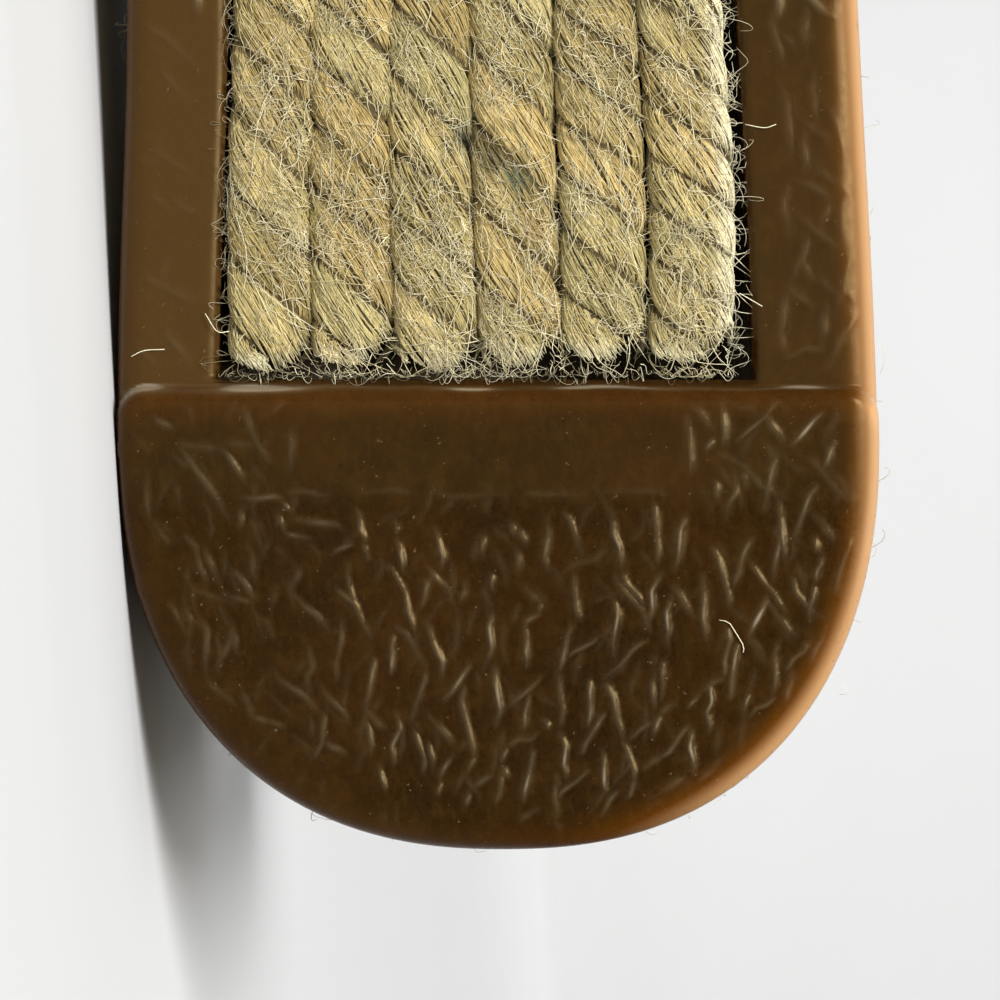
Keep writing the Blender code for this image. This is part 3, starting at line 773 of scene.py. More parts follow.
    (-30.5, 45.1, -27.7, 40.2, 0.9), (-27.2, 41.9, -24.1, 41.2, 0.8),

    (29.7, 69.3, 25.1, 65.5, 0.35), (28.1, 65.3, 26.1, 63.0, 0.35), (28.8, 58.7, 25.7, 56.8, 0.35),
    (30.9, 58.2, 28.8, 57.6, 0.3), (29.0, 54.9, 27.6, 53.7, 0.3), (27.2, 54.7, 25.5, 53.2, 0.3),
    (29.5, 48.0, 25.5, 46.0, 0.4), (27.6, 49.5, 28.2, 47.2, 0.3), (27.8, 43.9, 25.5, 40.3, 0.4),
    (31.1, 43.0, 28.4, 40.5, 0.3),
))
CHART_SEED = 3
CHART_END = 71.5
CREPE_SEED = 7
CREPE_CELL = (3.7, 4.6)
CREPE_HIGH = 0.25
CREPE_WIDTH = (0.145, 0.195)
CREPE_KINK = 0.05
CREPE_LENGTH = (2.6, 6.0)
CREPE_STEP = 0.1
CREPE_SPREAD = 1.45
FAINT_CELL = (3.1, 3.3)
FAINT_LENGTH = (1.6, 4.4)
FAINT_SHARE = 0.36
RAIL_SHARE = 0.6
PANEL_DASHES = ((13.5, 17.8), (6.5, 11.6), (-1.0, 5.4), (-7.6, -2.4), (-14.4, -8.6))
PANEL_DASH_ALONG = 29.9
PANEL_DASH_LEAN = 0.2
PANEL_DASH_SHARE = 0.35
PANEL_DASH_WIDTH = 0.22
PANEL_HALF = 18.0
RIDGE_POINTS = 8
RIDGE_TAPER = (0.05, 0.6)
RIDGE_REACH = 3.2
KINK_PLACES = ((0.2, 0.42), (0.58, 0.82))
KINK_SOFT = 5
CREST_LEVEL = 0.82
CREST_WAVE = 0.18
CREST_TURNS = (0.7, 1.5)
FAINT_LIMIT = 0.65
FAINT_WIDER = 0.05
FAINT_SPREAD = 1.15
JITTER_ACROSS = 1.4
JITTER_ALONG = 2.0

# Half widths of the strewn parts, and how far they keep from the edges and the panel
HEEL_HALF = 30
FORE_HALF = 42
BACK_CLEAR = 3
PANEL_CLEAR = 2
FRONT_CLEAR = 4


class CrepeLean(NamedTuple):
    """One way that ridges lean: how common it is, its heading and spread in degrees, its height."""

    common: float
    heading: float
    spread: float
    share: float


CREPE_LEANS = (CrepeLean(0.55, 6, 15, 1.0), CrepeLean(0.30, -38, 10, 0.75), CrepeLean(0.15, 37, 10, 0.85))


def crepe_ridge(rng, start, end, high, width):
    """A ridge between two plan points, with two slight kinks, an uneven crest and tapered ends."""
    start = np.array(start)
    run = np.array(end) - start
    length = np.linalg.norm(run)
    t = np.linspace(0, 1, max(RIDGE_POINTS, int(length / CREPE_STEP)))
    aside = np.array((-run[1], run[0])) / length
    knots = (0.0, *(rng.uniform(*place) for place in KINK_PLACES), 1.0)
    kinks = length * rng.normal(0, CREPE_KINK, len(KINK_PLACES))
    bent = np.interp(t, knots, (0.0, *kinks, 0.0))
    offset = np.convolve(bent, np.full(KINK_SOFT, 1 / KINK_SOFT), "same")
    line = start + t[:, None] * run + offset[:, None] * aside
    turns = t * rng.uniform(*CREST_TURNS) + rng.uniform(0, 1)
    crest = CREST_LEVEL + CREST_WAVE * np.sin(2 * np.pi * turns)
    return Ridge(line, high * soft_ends(t, *RIDGE_TAPER) * crest, width)


def scattered_ridges(rng, rows, columns, length, share, spread):
    """Crepe ridges strewn over a part of the sole, one near each crossing of the rows and columns."""
    common = [lean.common for lean in CREPE_LEANS]
    ridges = []
    for along in rows:
        for across in columns:
            lean = CREPE_LEANS[rng.choice(len(CREPE_LEANS), p=common)]
            start_across = across + rng.uniform(-JITTER_ACROSS, JITTER_ACROSS)
            start = (start_across, along + rng.uniform(-JITTER_ALONG, JITTER_ALONG))
            run = rng.uniform(*length)
            heading = math.radians(rng.normal(lean.heading, lean.spread))
            end = (start[0] - run * math.sin(heading), start[1] + run * math.cos(heading))
            width = rng.uniform(*CREPE_WIDTH) * spread
            ridges.append(crepe_ridge(rng, start, end, CREPE_HIGH * lean.share * share, width))
    return ridges


def crepe_ridges():
    """Ridges of the crepe: the heel's by its chart, faint ones between, and a scatter elsewhere."""
    rng = np.random.default_rng(CHART_SEED)
    ridges = []
    for row in HEEL_RIDGES:
        width = rng.uniform(*CREPE_WIDTH) + (FAINT_WIDER if row.share < FAINT_LIMIT else 0.0)
        on_inner_rail = row.along > WINDOW_START and row.across < 0
        share = row.share * (RAIL_SHARE if on_inner_rail else 1.0)
        place = (row.across, row.along), (row.to_across, row.to_along)
        ridges.append(crepe_ridge(rng, *place, CREPE_HIGH * share, width))
    for low, high in PANEL_DASHES:
        place = (high, PANEL_DASH_ALONG), (low, PANEL_DASH_ALONG - PANEL_DASH_LEAN)
        ridges.append(crepe_ridge(rng, *place, PANEL_DASH_SHARE * CREPE_HIGH, PANEL_DASH_WIDTH))
    rng = np.random.default_rng(CREPE_SEED)
    across = np.arange(-HEEL_HALF, HEEL_HALF + 1, FAINT_CELL[0])
    beside = across[abs(across) > PANEL_HALF]
    back_rows = np.arange(BACK_CLEAR, PANEL_DASH_ALONG - BACK_CLEAR, FAINT_CELL[1])
    panel_rows = np.arange(PANEL_DASH_ALONG - PANEL_CLEAR, HEEL_PAD_END - FRONT_CLEAR, FAINT_CELL[1])
    for rows, columns in ((back_rows, across), (panel_rows, beside)):
        ridges += scattered_ridges(rng, rows, columns, FAINT_LENGTH, FAINT_SHARE, FAINT_SPREAD)
    rows = np.arange(CHART_END, SOLE_LENGTH - FRONT_CLEAR, CREPE_CELL[1])
    columns = np.arange(-FORE_HALF, FORE_HALF, CREPE_CELL[0])
    return ridges + scattered_ridges(rng, rows, columns, CREPE_LENGTH, 1.0, CREPE_SPREAD)


def crepe_height(points, ridges):
    """Height of the crepe over the plain rubber at each plan point."""
    height = np.zeros(len(points))
    for ridge in ridges:
        reach = RIDGE_REACH * ridge.width
        low = ridge.line.min(axis=0) - reach
        high = ridge.line.max(axis=0) + reach
        near = np.flatnonzero(np.all((points > low) & (points < high), axis=1))
        if len(near) == 0:
            continue
        gap = points[near, None] - ridge.line
        rise = np.exp(-(gap**2).sum(axis=2) / (2 * ridge.width**2)) * ridge.height
        height[near] = np.maximum(height[near], rise.max(axis=1))
    return height


def tree_of(points):
    """Points in a tree, for finding the nearest."""
    tree = kdtree.KDTree(len(points))
    for index, point in enumerate(points):
        tree.insert(point, index)
    tree.balance()
    return tree


def edge_distance(points, loop):
    """Distance of plan points from a closed loop of close points, and the loop's nearest point."""
    tree = tree_of(np.column_stack([loop, np.zeros(len(loop))]))
    nearest = np.array([tree.find((x, y, 0))[1] for x, y in points])
    best = np.full(len(points), np.inf)
    start = loop[nearest]
    for step in (-1, 1):
        run = loop[(nearest + step) % len(loop)] - start
        share = ((points - start) * run).sum(axis=1) / (run**2).sum(axis=1)
        foot = start + np.clip(share, 0, 1)[:, None] * run
        best = np.minimum(best, np.linalg.norm(points - foot, axis=1))
    return best, nearest


def quarter_round(distance, wide, high):
    """Rise of a rounded edge over the flat, at a distance from the edge."""
    left = np.clip(1 - distance / wide, 0, 1)
    return high * (1 - np.sqrt(1 - left**2))


# Cells of the outsole's grid: inner rail, window and outer rail, then rows along the shoe
INNER_CELLS = 22
WINDOW_CELLS = 84
OUTER_CELLS = 18
END_ROWS = 26
END_LENGTH = 3.0
END_POWER = 2.2
FINE_ROW = 0.5
COARSE_ROW = 0.95
STEP_ROW = 0.13
FINE_END = 80.0
STEP_ROWS_BEHIND = 3.4
STEP_ROWS_AHEAD = 2.4
ROW_GAP = 0.1
ROW_END = 0.01
FRONT_WAIST_ROWS = 40
MERGE = 0.0005
AT_RIM = 0.3

# Where the crepe fades out: at the rim, the window's edge and the pads' steps
RIM_FADE = (0.8, 2.2)
LIP_FADE = (0.6, 1.6)
STEP_FADE = (0.4, 1.6)
NO_LIP = 50.0

# Painted glow: light through the rubber painted into its colour, at its edge and at the pads' steps
GLOW_TOWARDS = np.array((-0.93, -0.37))
GLOW_FACING = (0.3, 0.95)
EDGE_GLOW = 0.10
EDGE_GLOW_LIT = 0.72
EDGE_GLOW_WIDE = 1.5
EDGE_GLOW_WIDER = 0.4
STEP_GLOW = 0.10
STEP_GLOW_BACK = 1.0
STEP_GLOW_WIDE = 1.2
STEP_GLOW_END = 0.2
WALL_GLOW = 0.42

# Haze of the rails and of the panel
INNER_HAZE = 0.30
OUTER_HAZE = 0.74
PANEL_HAZE = 0.14
PANEL_HAZE_ALONG = (28, 31)

# Painted highlight: an uneven line of light painted on the upper edge of the pads' steps
STEP_LIGHT = 1.5
STEP_EVEN = 0.30
STEP_TURNS = (0.45, 1.3, 0.23)
STEP_WAVERS = ((0.08, 0.31, 1.0), (0.05, 0.83, 0.0))
STEP_BACK = 0.14
STEP_WIDE = 0.17
STEP_WIDER = 0.28
STEP_WIDER_ACROSS = (10, 24)
STEP_END = 0.3


class RidgeCut(NamedTuple):
    """One cut of the faces near ridges: the least height near the heel and far off, and its end."""

    least: float
    least_far: float
    end: float


RIDGE_CUTS = (RidgeCut(0.016, 0.14, SOLE_LENGTH), RidgeCut(0.10, 0.0, HEEL_PAD_END))


class Underside(NamedTuple):
    """The underside's points in plan, with what their looks depend on."""

    plan: np.ndarray
    rim: np.ndarray
    ahead: np.ndarray
    on_rail: np.ndarray
    in_gap: np.ndarray
    facing: np.ndarray
    crepe: np.ndarray


def outsole_rows():
    """Places of the grid's rows along the shoe, close together at the ends and at the pads' steps."""
    end = END_LENGTH * (np.arange(END_ROWS) / END_ROWS) ** END_POWER
    heel_step = np.arange(HEEL_PAD_END - STEP_ROWS_BEHIND, WINDOW_START - ROW_END, STEP_ROW)
    fore_step = np.arange(WINDOW_END + STEP_ROW, FOREFOOT_PAD_START + STEP_ROWS_AHEAD, STEP_ROW)
    heel = np.arange(END_LENGTH, heel_step[0] - ROW_GAP, FINE_ROW)
    waist = np.arange(WINDOW_START, FINE_END, FINE_ROW)
    front_waist = np.linspace(FINE_END, WINDOW_END, FRONT_WAIST_ROWS)
    fore = np.arange(fore_step[-1] + COARSE_ROW, SOLE_LENGTH - END_LENGTH, COARSE_ROW)
    parts = [end, heel, heel_step, waist, front_waist, fore_step, fore, SOLE_LENGTH - end[::-1]]
    return np.concatenate(parts)


def outsole_plan(columns, along):
    """Plan points of the grid: the columns keep to the rails' edges, and draw together at the ends."""
    half = half_width(along)
    share = np.minimum(1, half / WAIST_HALF)
    inner = -half + INNER_RAIL * share
    outer = half - OUTER_RAIL * share
    first = INNER_CELLS
    second = INNER_CELLS + WINDOW_CELLS
    last = second + OUTER_CELLS
    in_rail = -half + (inner + half) * columns / first
    in_window = inner + (outer - inner) * (columns - first) / WINDOW_CELLS
    out_rail = outer + (half - outer) * (columns - second) / (last - second)
    across = np.where(columns <= first, in_rail, np.where(columns <= second, in_window, out_rail))
    return np.column_stack([centre(along) + across, along])


def pad_height(points, from_side):
    """Height of the underside, 0 on the pads and a step up on the rails, and the distance to a step."""
    corner = PAD_CORNER_BACK * np.clip(1 - from_side / PAD_CORNER_WIDE, 0, 1) ** 2
    ahead = np.minimum(points[:, 1] - (HEEL_PAD_END - corner), FOREFOOT_PAD_START + corner - points[:, 1])
    share = np.clip(1 + ahead / PAD_FRONT_WIDE, 0, 1)
    return PAD_STEP * (1 - np.sqrt(1 - share**2)), ahead


def beside_window(along):
    return (along > WINDOW_START) & (along < WINDOW_END)


def outsole_sheet():
    """Flat grid in the outline of the sole, with the window cut out of it."""
    along = outsole_rows()
    columns = INNER_CELLS + WINDOW_CELLS + OUTER_CELLS
    rows = len(along) - 1
    deselect_all()
    bpy.ops.mesh.primitive_grid_add(x_subdivisions=columns, y_subdivisions=rows, size=2)
    piece = bpy.context.object
    piece.name = "outsole_rubber"
    mesh = piece.data
    grid = coordinates(mesh)
    column = np.rint((grid[:, 0] + 1) / 2 * columns)
    row = np.rint((grid[:, 1] + 1) / 2 * rows).astype(int)
    plan = outsole_plan(column, along[row])
    set_coordinates(mesh, np.column_stack([plan, np.zeros(len(plan))]))
    middle = face_centres(mesh)
    inside = middle[:, 0] - centre(middle[:, 1])
    half = half_width(middle[:, 1])
    between_rails = (inside > -half + INNER_RAIL) & (inside < half - OUTER_RAIL)
    select(piece, faces=between_rails & beside_window(middle[:, 1]))
    enter_edit(piece, "FACE")
    bpy.ops.mesh.delete(type="FACE")
    bpy.ops.mesh.select_all(action="SELECT")
    bpy.ops.mesh.remove_doubles(threshold=MERGE)
    leave_edit()
    return piece


def cut_near_ridges(piece, ridges):
    """Makes the grid finer near the ridges, and finer again on the heel pad."""
    for cut in RIDGE_CUTS:
        middle = face_centres(piece.data)
        least = np.where(middle[:, 1] < FINE_END, cut.least, cut.least_far)
        near = crepe_height(middle[:, :2], ridges) > least
        select(piece, faces=near & (middle[:, 1] < cut.end))
        enter_edit(piece, "FACE")
        bpy.ops.mesh.subdivide(number_cuts=1)
        leave_edit()


def shape_underside(mesh, loop, ridges):
    """Gives the flat grid its pads, rails, rounded edges and crepe."""
    points = coordinates(mesh)
    plan = points[:, :2]
    across, along = plan.T
    rim, nearest = edge_distance(plan, loop)
    half = half_width(along)
    bottom, ahead = pad_height(plan, half - abs(across - centre(along)))
    from_inner = centre(along) - half + INNER_RAIL - across
    from_outer = across - centre(along) - half + OUTER_RAIL
    lip = np.where(beside_window(along), np.maximum(np.maximum(from_inner, from_outer), 0), NO_LIP)
    fade = ease(*RIM_FADE, rim) * ease(*LIP_FADE, lip) * ease(*STEP_FADE, abs(ahead))
    crepe = crepe_height(plan, ridges) * fade
    rounded = bottom + quarter_round(rim, RIM_WIDE, RIM_HIGH) + quarter_round(lip, LIP_WIDE, LIP_HIGH)
    points[:, 2] = rounded + (lift(along) - crepe)
    set_coordinates(mesh, points)
    on_rail = np.clip(bottom / PAD_STEP, 0, 1)
    in_gap = (from_inner < 0) & (from_outer < 0) & (ahead > 0)
    facing = -inward(loop)[nearest] @ GLOW_TOWARDS
    return Underside(plan, rim, ahead, on_rail, in_gap, facing, crepe)


def amber_and_painted_glow_share(under):
    """Share of the thin rubber's amber and of painted glow, light painted as if it showed through the
    rubber, at its lit edge and at the pads' steps.
    """
    lit = ease(*GLOW_FACING, under.facing)
    edge = bell(under.rim, EDGE_GLOW_WIDE + EDGE_GLOW_WIDER * lit) * (EDGE_GLOW + EDGE_GLOW_LIT * lit)
    step = STEP_GLOW * bell(under.ahead + STEP_GLOW_BACK, STEP_GLOW_WIDE) * (under.ahead < STEP_GLOW_END)
    return np.clip(edge + step, 0, 1)


def dusty_haze(under):
    """Haze of the two rails, and a little on the panel behind the window; the strip in the gap before the
    window gets none, and is left dark as painted shade.
    """
    rails = under.on_rail * np.where(under.plan[:, 0] < 0, INNER_HAZE, OUTER_HAZE)
    on_panel = ease(*PANEL_HAZE_ALONG, under.plan[:, 1]) * (under.ahead < -PAD_FRONT_WIDE)
    # Painted shade: no haze on the strip in the gap, under the rope ends
    return np.where(under.in_gap, 0.0, rails) + PANEL_HAZE * on_panel


def step_light(under):
    """Painted highlight: a broken line of light along the upper edge of the pads' steps."""
    across = under.plan[:, 0]
    turn, sway, sway_turn = STEP_TURNS
    broken = (0.5 + 0.5 * np.sin(turn * across + sway * np.sin(sway_turn * across))) ** 2
    bright = STEP_EVEN + (1 - STEP_EVEN) * broken
    waver = sum(size * np.sin(rate * across + phase) for size, rate, phase in STEP_WAVERS)
    wide = STEP_WIDE + STEP_WIDER * ease(*STEP_WIDER_ACROSS, across)
    return STEP_LIGHT * bright * bell(under.ahead + STEP_BACK + waver, wide) * (under.ahead < STEP_END)


def make_outsole(material):
    piece = outsole_sheet()
    ridges = crepe_ridges()
    cut_near_ridges(piece, ridges)
    loop = outline()
    under = shape_underside(piece.data, loop, ridges)
    raise_walls(piece, loop)
    # Painted highlight: the crepe's crests and the steps' line of light, as one share that lightens the
    # colour
    relief_and_painted_highlight = np.maximum(under.crepe / CREPE_HIGH, step_light(under))
    # The amber share holds the thin rubber's amber and its painted glow; the walls get an even share
    looks = (
        ("amber_and_painted_glow", amber_and_painted_glow_share(under), WALL_GLOW),
        ("haze", dusty_haze(under), 0.0),
        ("relief_and_painted_highlight", relief_and_painted_highlight, 0.0),
    )
    walls = len(piece.data.vertices) - len(under.plan)
    for name, values, on_walls in looks:
        keep_value(piece.data, name, np.concatenate([values, np.full(walls, on_walls)]))
    finish_piece(piece, material, "gum_rubber", "outsole")


def raise_walls(piece, loop):
    """Closes the outsole: its side wall with a rounded top edge, the walls of the window, and the top."""
    mesh = piece.data
    select(piece, edges=open_edges(mesh))
    for level, inset in ((OUTSOLE_THICK - TOP_EDGE_ROUND, 0.0), (OUTSOLE_THICK, TOP_EDGE_ROUND)):
        enter_edit(piece, "EDGE")
        bpy.ops.mesh.extrude_region_move(TRANSFORM_OT_translate={"value": (0, 0, 1)})
        leave_edit()
        points = coordinates(mesh)
        moved = np.flatnonzero(selected_points(piece))
        plan = points[moved, :2]
        distance, nearest = edge_distance(plan, loop)
        at_rim = distance < AT_RIM
        points[moved[at_rim], :2] += inset * inward(loop)[nearest[at_rim]]
        points[moved, 2] = level + lift(points[moved, 1])
        set_coordinates(mesh, points)
    enter_edit(piece, "EDGE")
    bpy.ops.mesh.fill(use_beauty=True)
    bpy.ops.mesh.select_all(action="SELECT")
    bpy.ops.mesh.normals_make_consistent(inside=False)
    leave_edit()


# Fibres of the inlay rope
VALLEY_DEEP = 0.25
FIBRE_SLOPE = 0.165
FIBRE_STATIONS = 8
FIBRE_TURNS = (-2.75, 1.2)
BUNDLES = 15
SEEN_FIBRES = 120
FAR_FIBRES = 40
SEEN_RADIUS = (0.065, 0.115)
FAR_RADIUS = (0.11, 0.17)
SEEN_END = 76.0
LOOSE_FIBRES = 880
LOOSE_SEEN = 0.68
LOOSE_POINTS = 8
LOOSE_LENGTH = (1.0, 5.4)
LONG_SHARE = 0.05
LONG_LENGTH = (6.0, 12.0)
LOOSE_RADIUS = (0.018, 0.046)
END_ROUND = 2.8
END_BACK = (0.0, 0.5, 0.1, 0.5, 0.9, 0.8)
CORE_BACK = 2.2
EDGE_HAIRS = 45
STRIP_START = 38.9
STRIP_HEIGHT = 1.28
STRIP_REACH = 0.25
NEAR_CLEAR = 0.15
FAR_CLEAR = 0.1
LEAST_ROUND = 0.02
FLANK_HAIRS = 130
HAIR_SIDES = 3
HAIR_PHASES = 6
ROPE_SEED = 100
CORE_STATIONS = 112
CORE_SIDES = 40
CORE_DEEP = 0.05

# Cut ends of a rope, the sway of its strands and the roundness of each
END_CLEAR = 0.3
END_SOFT = 2.6
END_SHARE = 0.6
SWAY = 0.5
SWAY_LENGTH = 23.0
SWAY_SHIFT = 2.2
STRAND_FULLNESS = 2.8
WAVE_OCTAVES = (1.0, 2.1)
WAVE_STRETCH = (0.7, 1.3)

# Spreads within a strand: places of its bundles and fibres, slopes, cut ends, tones and warmth
BUNDLE_SPREAD = 0.05
FIBRE_SPREAD = 0.075
SLOPE_SPREAD = 0.10
FIBRE_CUT = (-0.15, 0.6)
FIBRE_RUN = 9
SHORTEST_FIBRE = 1.0
STRAND_TONE = (0.25, 0.72)
BUNDLE_TONE = 0.11
FIBRE_TONE = 0.13
STRAND_WARM = (-0.05, 0.05)
FIBRE_WARM = 0.02
TURN_WANDER = (0.035, 1.0)
FIBRE_RISE = (-0.05, 0.02)
RISE_WANDER = (0.012, 0.8)
TONE_WANDER = (0.06, 1.0)
FIBRE_THICK = 1.05
FIBRE_TAPER = 0.5
TIP_PALE = 0.6
TIP_REACH = (-2.2, -0.4)

# Loose fibres: tufts, headings, curl and rise
TUFTS = 12
TUFT_SIDE = 0.9
TUFTED = 0.45
TUFT_SPREAD = 0.8
TUFT_PAST = 0.1
LAY_HEADING = 28
LAY_SPREAD = 22
WITH_LAY = 0.45
LOOSE_SHORTER = (0.3, 1.0)
LOOSE_CURL = 0.9
LONG_CURL = 0.7
LOOSE_WAVE = 0.6
LONG_WAVE = 0.4
FREE_ENDS = 0.55
FREE_RISE = 1.4
LOOSE_RISE = 0.36
LEAST_RISE = 0.05
LOOSE_DEEP = 0.02
LOOSE_TAPER = 0.55
LOOSE_TONE = (0.6, 0.28)
LOOSE_DARK = 0.85

# Frayed ends of a rope
FRAYED_AT_START = 0.6
FRAYED_BACK = (0, 0.5)
FRAYED_WIDE = 0.9
FRAYED_DEEP = (0.1, 1.6)
FRAYED_SIDE = 0.9
FRAYED_SWAY = 0.35
FRAYED_TURN = 2.4
FRAYED_REACH = (0.1, 1.4)
FRAYED_BEND = 0.8
FRAYED_DROP = (-0.3, 0.9)
FRAYED_RADIUS = (0.025, 0.045)
FRAYED_TAPER = 0.5
FRAYED_TONE = 1.5
FRAYED_DARK = 0.4

# Curls on the flanks of the outermost ropes
FLANK_SEEN = 0.7
FLANK_OUT = (2.0, 0.42)
FLANK_RUN = 1.5
FLANK_CURL = (0.15, 0.6)
FLANK_TURN = 5
FLANK_FROM = (0.84, 0.98)
FLANK_BEND = 0.75
FLANK_DEEP = (0.1, 1.0)
FLANK_DROP = (0.2, 2.0)
FLANK_DROP_BEND = 0.7
FLANK_OVER_RAIL = 0.7
FLANK_RAIL = 1.25
FLANK_FREE = 9.0
FLANK_RADIUS = (0.018, 0.034)
FLANK_TAPER = 0.4
FLANK_TONE = (0.0, 0.7)
FLANK_DARK = 0.5
# Painted light on the innermost rope's flank that faces the inner rail
FLANK_PAINTED_LIGHT = 0.9
FLANK_PAINTED_LIGHT_FROM = (0.35, 0.9)

# Linear colours of the jute; the core's dark colour is painted shade between the strands
JUTE_DARK = np.array((0.365, 0.275, 0.100))
JUTE_LIGHT = np.array((0.765, 0.625, 0.285))
JUTE_CREAM = np.array((0.99, 0.91, 0.63))
# Painted shade: the dark core shows in the gaps between the fibres
JUTE_CORE_PAINTED_SHADE = np.array((0.105, 0.074, 0.030))


def inlay_centre(index, along):
    """Where an inlay rope lies across the sole."""
    return smooth([row.along for row in INLAY_COURSE], [row.across[index] for row in INLAY_COURSE], along)


def inlay_end_share(along):
    """Share of the full thickness, drawn in at the two cut ends."""
    start = np.clip((along - INLAY_START + END_CLEAR) / END_SOFT, 0, 1)
    end = np.clip((INLAY_END + END_CLEAR - along) / END_SOFT, 0, 1)
    nearest = np.minimum(start, end)
    return END_SHARE + (1 - END_SHARE) * np.sqrt(1 - (1 - nearest) ** 2)


def inlay_point(index, along, turn, reach):
    """Point of an inlay rope, at a turn round it from its lowest line and a share of its full section."""
    side = np.sin(turn)
    down = np.cos(turn)
    power = INLAY_SQUARENESS
    corner = (abs(side) ** power + abs(down) ** power) ** (-1 / power)
    size = reach * corner * inlay_end_share(along)
    x = inlay_centre(index, along) + INLAY_HALF_WIDE * size * side
    z = INLAY_MIDDLE + lift(along) - INLAY_HALF_HIGH * size * down
    return np.stack([x, along, z], axis=-1)


def strand_place(index, along, turn):
    """Counts strands along a rope: whole numbers are the valleys between two strands."""
    spacing = INLAY_PITCHES[index] / STRANDS
    sway = SWAY * np.sin(2 * np.pi * along / SWAY_LENGTH + SWAY_SHIFT * index)
    return (along + sway) / spacing + INLAY_PHASES[index] - turn * STRANDS / (2 * np.pi)


def strand_reach(share):
    """Share of the rope's section at a place across a strand, lowest in the valleys at 0 and 1."""
    round_off = np.clip(1 - abs(2 * share - 1) ** STRAND_FULLNESS, 0, 1) ** (1 / STRAND_FULLNESS)
    return 1 - VALLEY_DEEP * (1 - round_off)


def slow_wave(rng, count, at, size, length):
    """Smooth random wander for each of several fibres, read at places along them."""
    total = np.zeros((count, at.shape[-1]))
    for octave in WAVE_OCTAVES:
        phase = rng.uniform(0, 2 * np.pi, (count, 1))
        stretch = rng.uniform(*WAVE_STRETCH, (count, 1))
        total += np.sin(2 * np.pi * at * octave * stretch / length + phase) / octave
    return size * total


def stained(colours, points):
    """Fibre colours with the stained spots laid over them."""
    for spot in STAINS:
        gap = np.hypot(points[:, 0] - spot.across, points[:, 1] - spot.along)
        share = spot.strength * bell(gap, spot.reach)
        colours = colours + share[:, None] * (np.array(spot.colour) - colours)
    return colours


def end_rounding(turn, slope, run):
    """How far a fibre on the side of a rope is cut back behind those in front."""
    return END_ROUND * abs(np.sin(turn + slope * np.clip(run, 0, FIBRE_RUN))) ** 3


def strand_fibres(rng, index, strand):
    """Fibres of one strand's pass over a rope, each up out of a valley and down into the next."""
    pitch = INLAY_PITCHES[index]
    spacing = pitch / STRANDS
    middle = spacing * (strand - INLAY_PHASES[index])
    seen = middle < SEEN_END
    count = SEEN_FIBRES if seen else FAR_FIBRES
    start = INLAY_START + END_BACK[index]
    centres = np.linspace(*FIBRE_TURNS, BUNDLES) + rng.normal(0, BUNDLE_SPREAD, BUNDLES)
    bundle = rng.integers(0, BUNDLES, count)
    turn_start = centres[bundle] + rng.normal(0, FIBRE_SPREAD, count)
    slope = FIBRE_SLOPE * (1 + rng.normal(0, SLOPE_SPREAD, count))
    y_start = middle + pitch * turn_start / (2 * np.pi)
    y_end = y_start + spacing / (1 - slope * pitch / (2 * np.pi))
    near_round = end_rounding(turn_start, slope, INLAY_START - y_start)
    far_round = end_rounding(turn_start, slope, INLAY_END - y_start)
    low = np.maximum(y_start, start + rng.uniform(*FIBRE_CUT, count) + near_round)
    high = np.minimum(y_end, INLAY_END - rng.uniform(*FIBRE_CUT, count) - far_round)
    tone = rng.uniform(*STRAND_TONE) + rng.normal(0, BUNDLE_TONE, BUNDLES)[bundle]
    tone = tone + rng.normal(0, FIBRE_TONE, count)
    warm = 1 + rng.uniform(*STRAND_WARM) + rng.normal(0, FIBRE_WARM, count)
    kept = high - low > SHORTEST_FIBRE
    if not kept.any():
        return None
    turn_start, slope, y_start, low, high, tone, warm = (
        values[kept, None] for values in (turn_start, slope, y_start, low, high, tone, warm)
    )
    count = len(low)
    t = np.linspace(0, 1, FIBRE_STATIONS)
    y = low + (high - low) * t
    turn = turn_start + slope * (y - y_start) + slow_wave(rng, count, t, *TURN_WANDER)
    share = np.clip(strand_place(index, y, turn) - strand, 0, 1)
    reach = strand_reach(share) + rng.uniform(*FIBRE_RISE, (count, 1))
    reach = reach + slow_wave(rng, count, t, *RISE_WANDER)
    paths = inlay_point(index, y, turn, reach)
    radii = rng.uniform(*(SEEN_RADIUS if seen else FAR_RADIUS), (count, 1))
    shape = tubes(paths, radii * (FIBRE_THICK - FIBRE_TAPER * (2 * t - 1) ** 4), HAIR_SIDES)
    tone = np.clip(tone + slow_wave(rng, count, t, *TONE_WANDER), 0, 1)
    colours = JUTE_DARK + tone[:, :, None] * (JUTE_LIGHT - JUTE_DARK)
    tip = TIP_PALE * ease(*TIP_REACH, start - y)[:, :, None]
    colours = colours + tip * (JUTE_CREAM - colours)
    colours = colours * np.stack([warm, np.ones_like(warm), 2 - warm], axis=2)
    return shape, np.repeat(colours.reshape(-1, 3), HAIR_SIDES, axis=0)


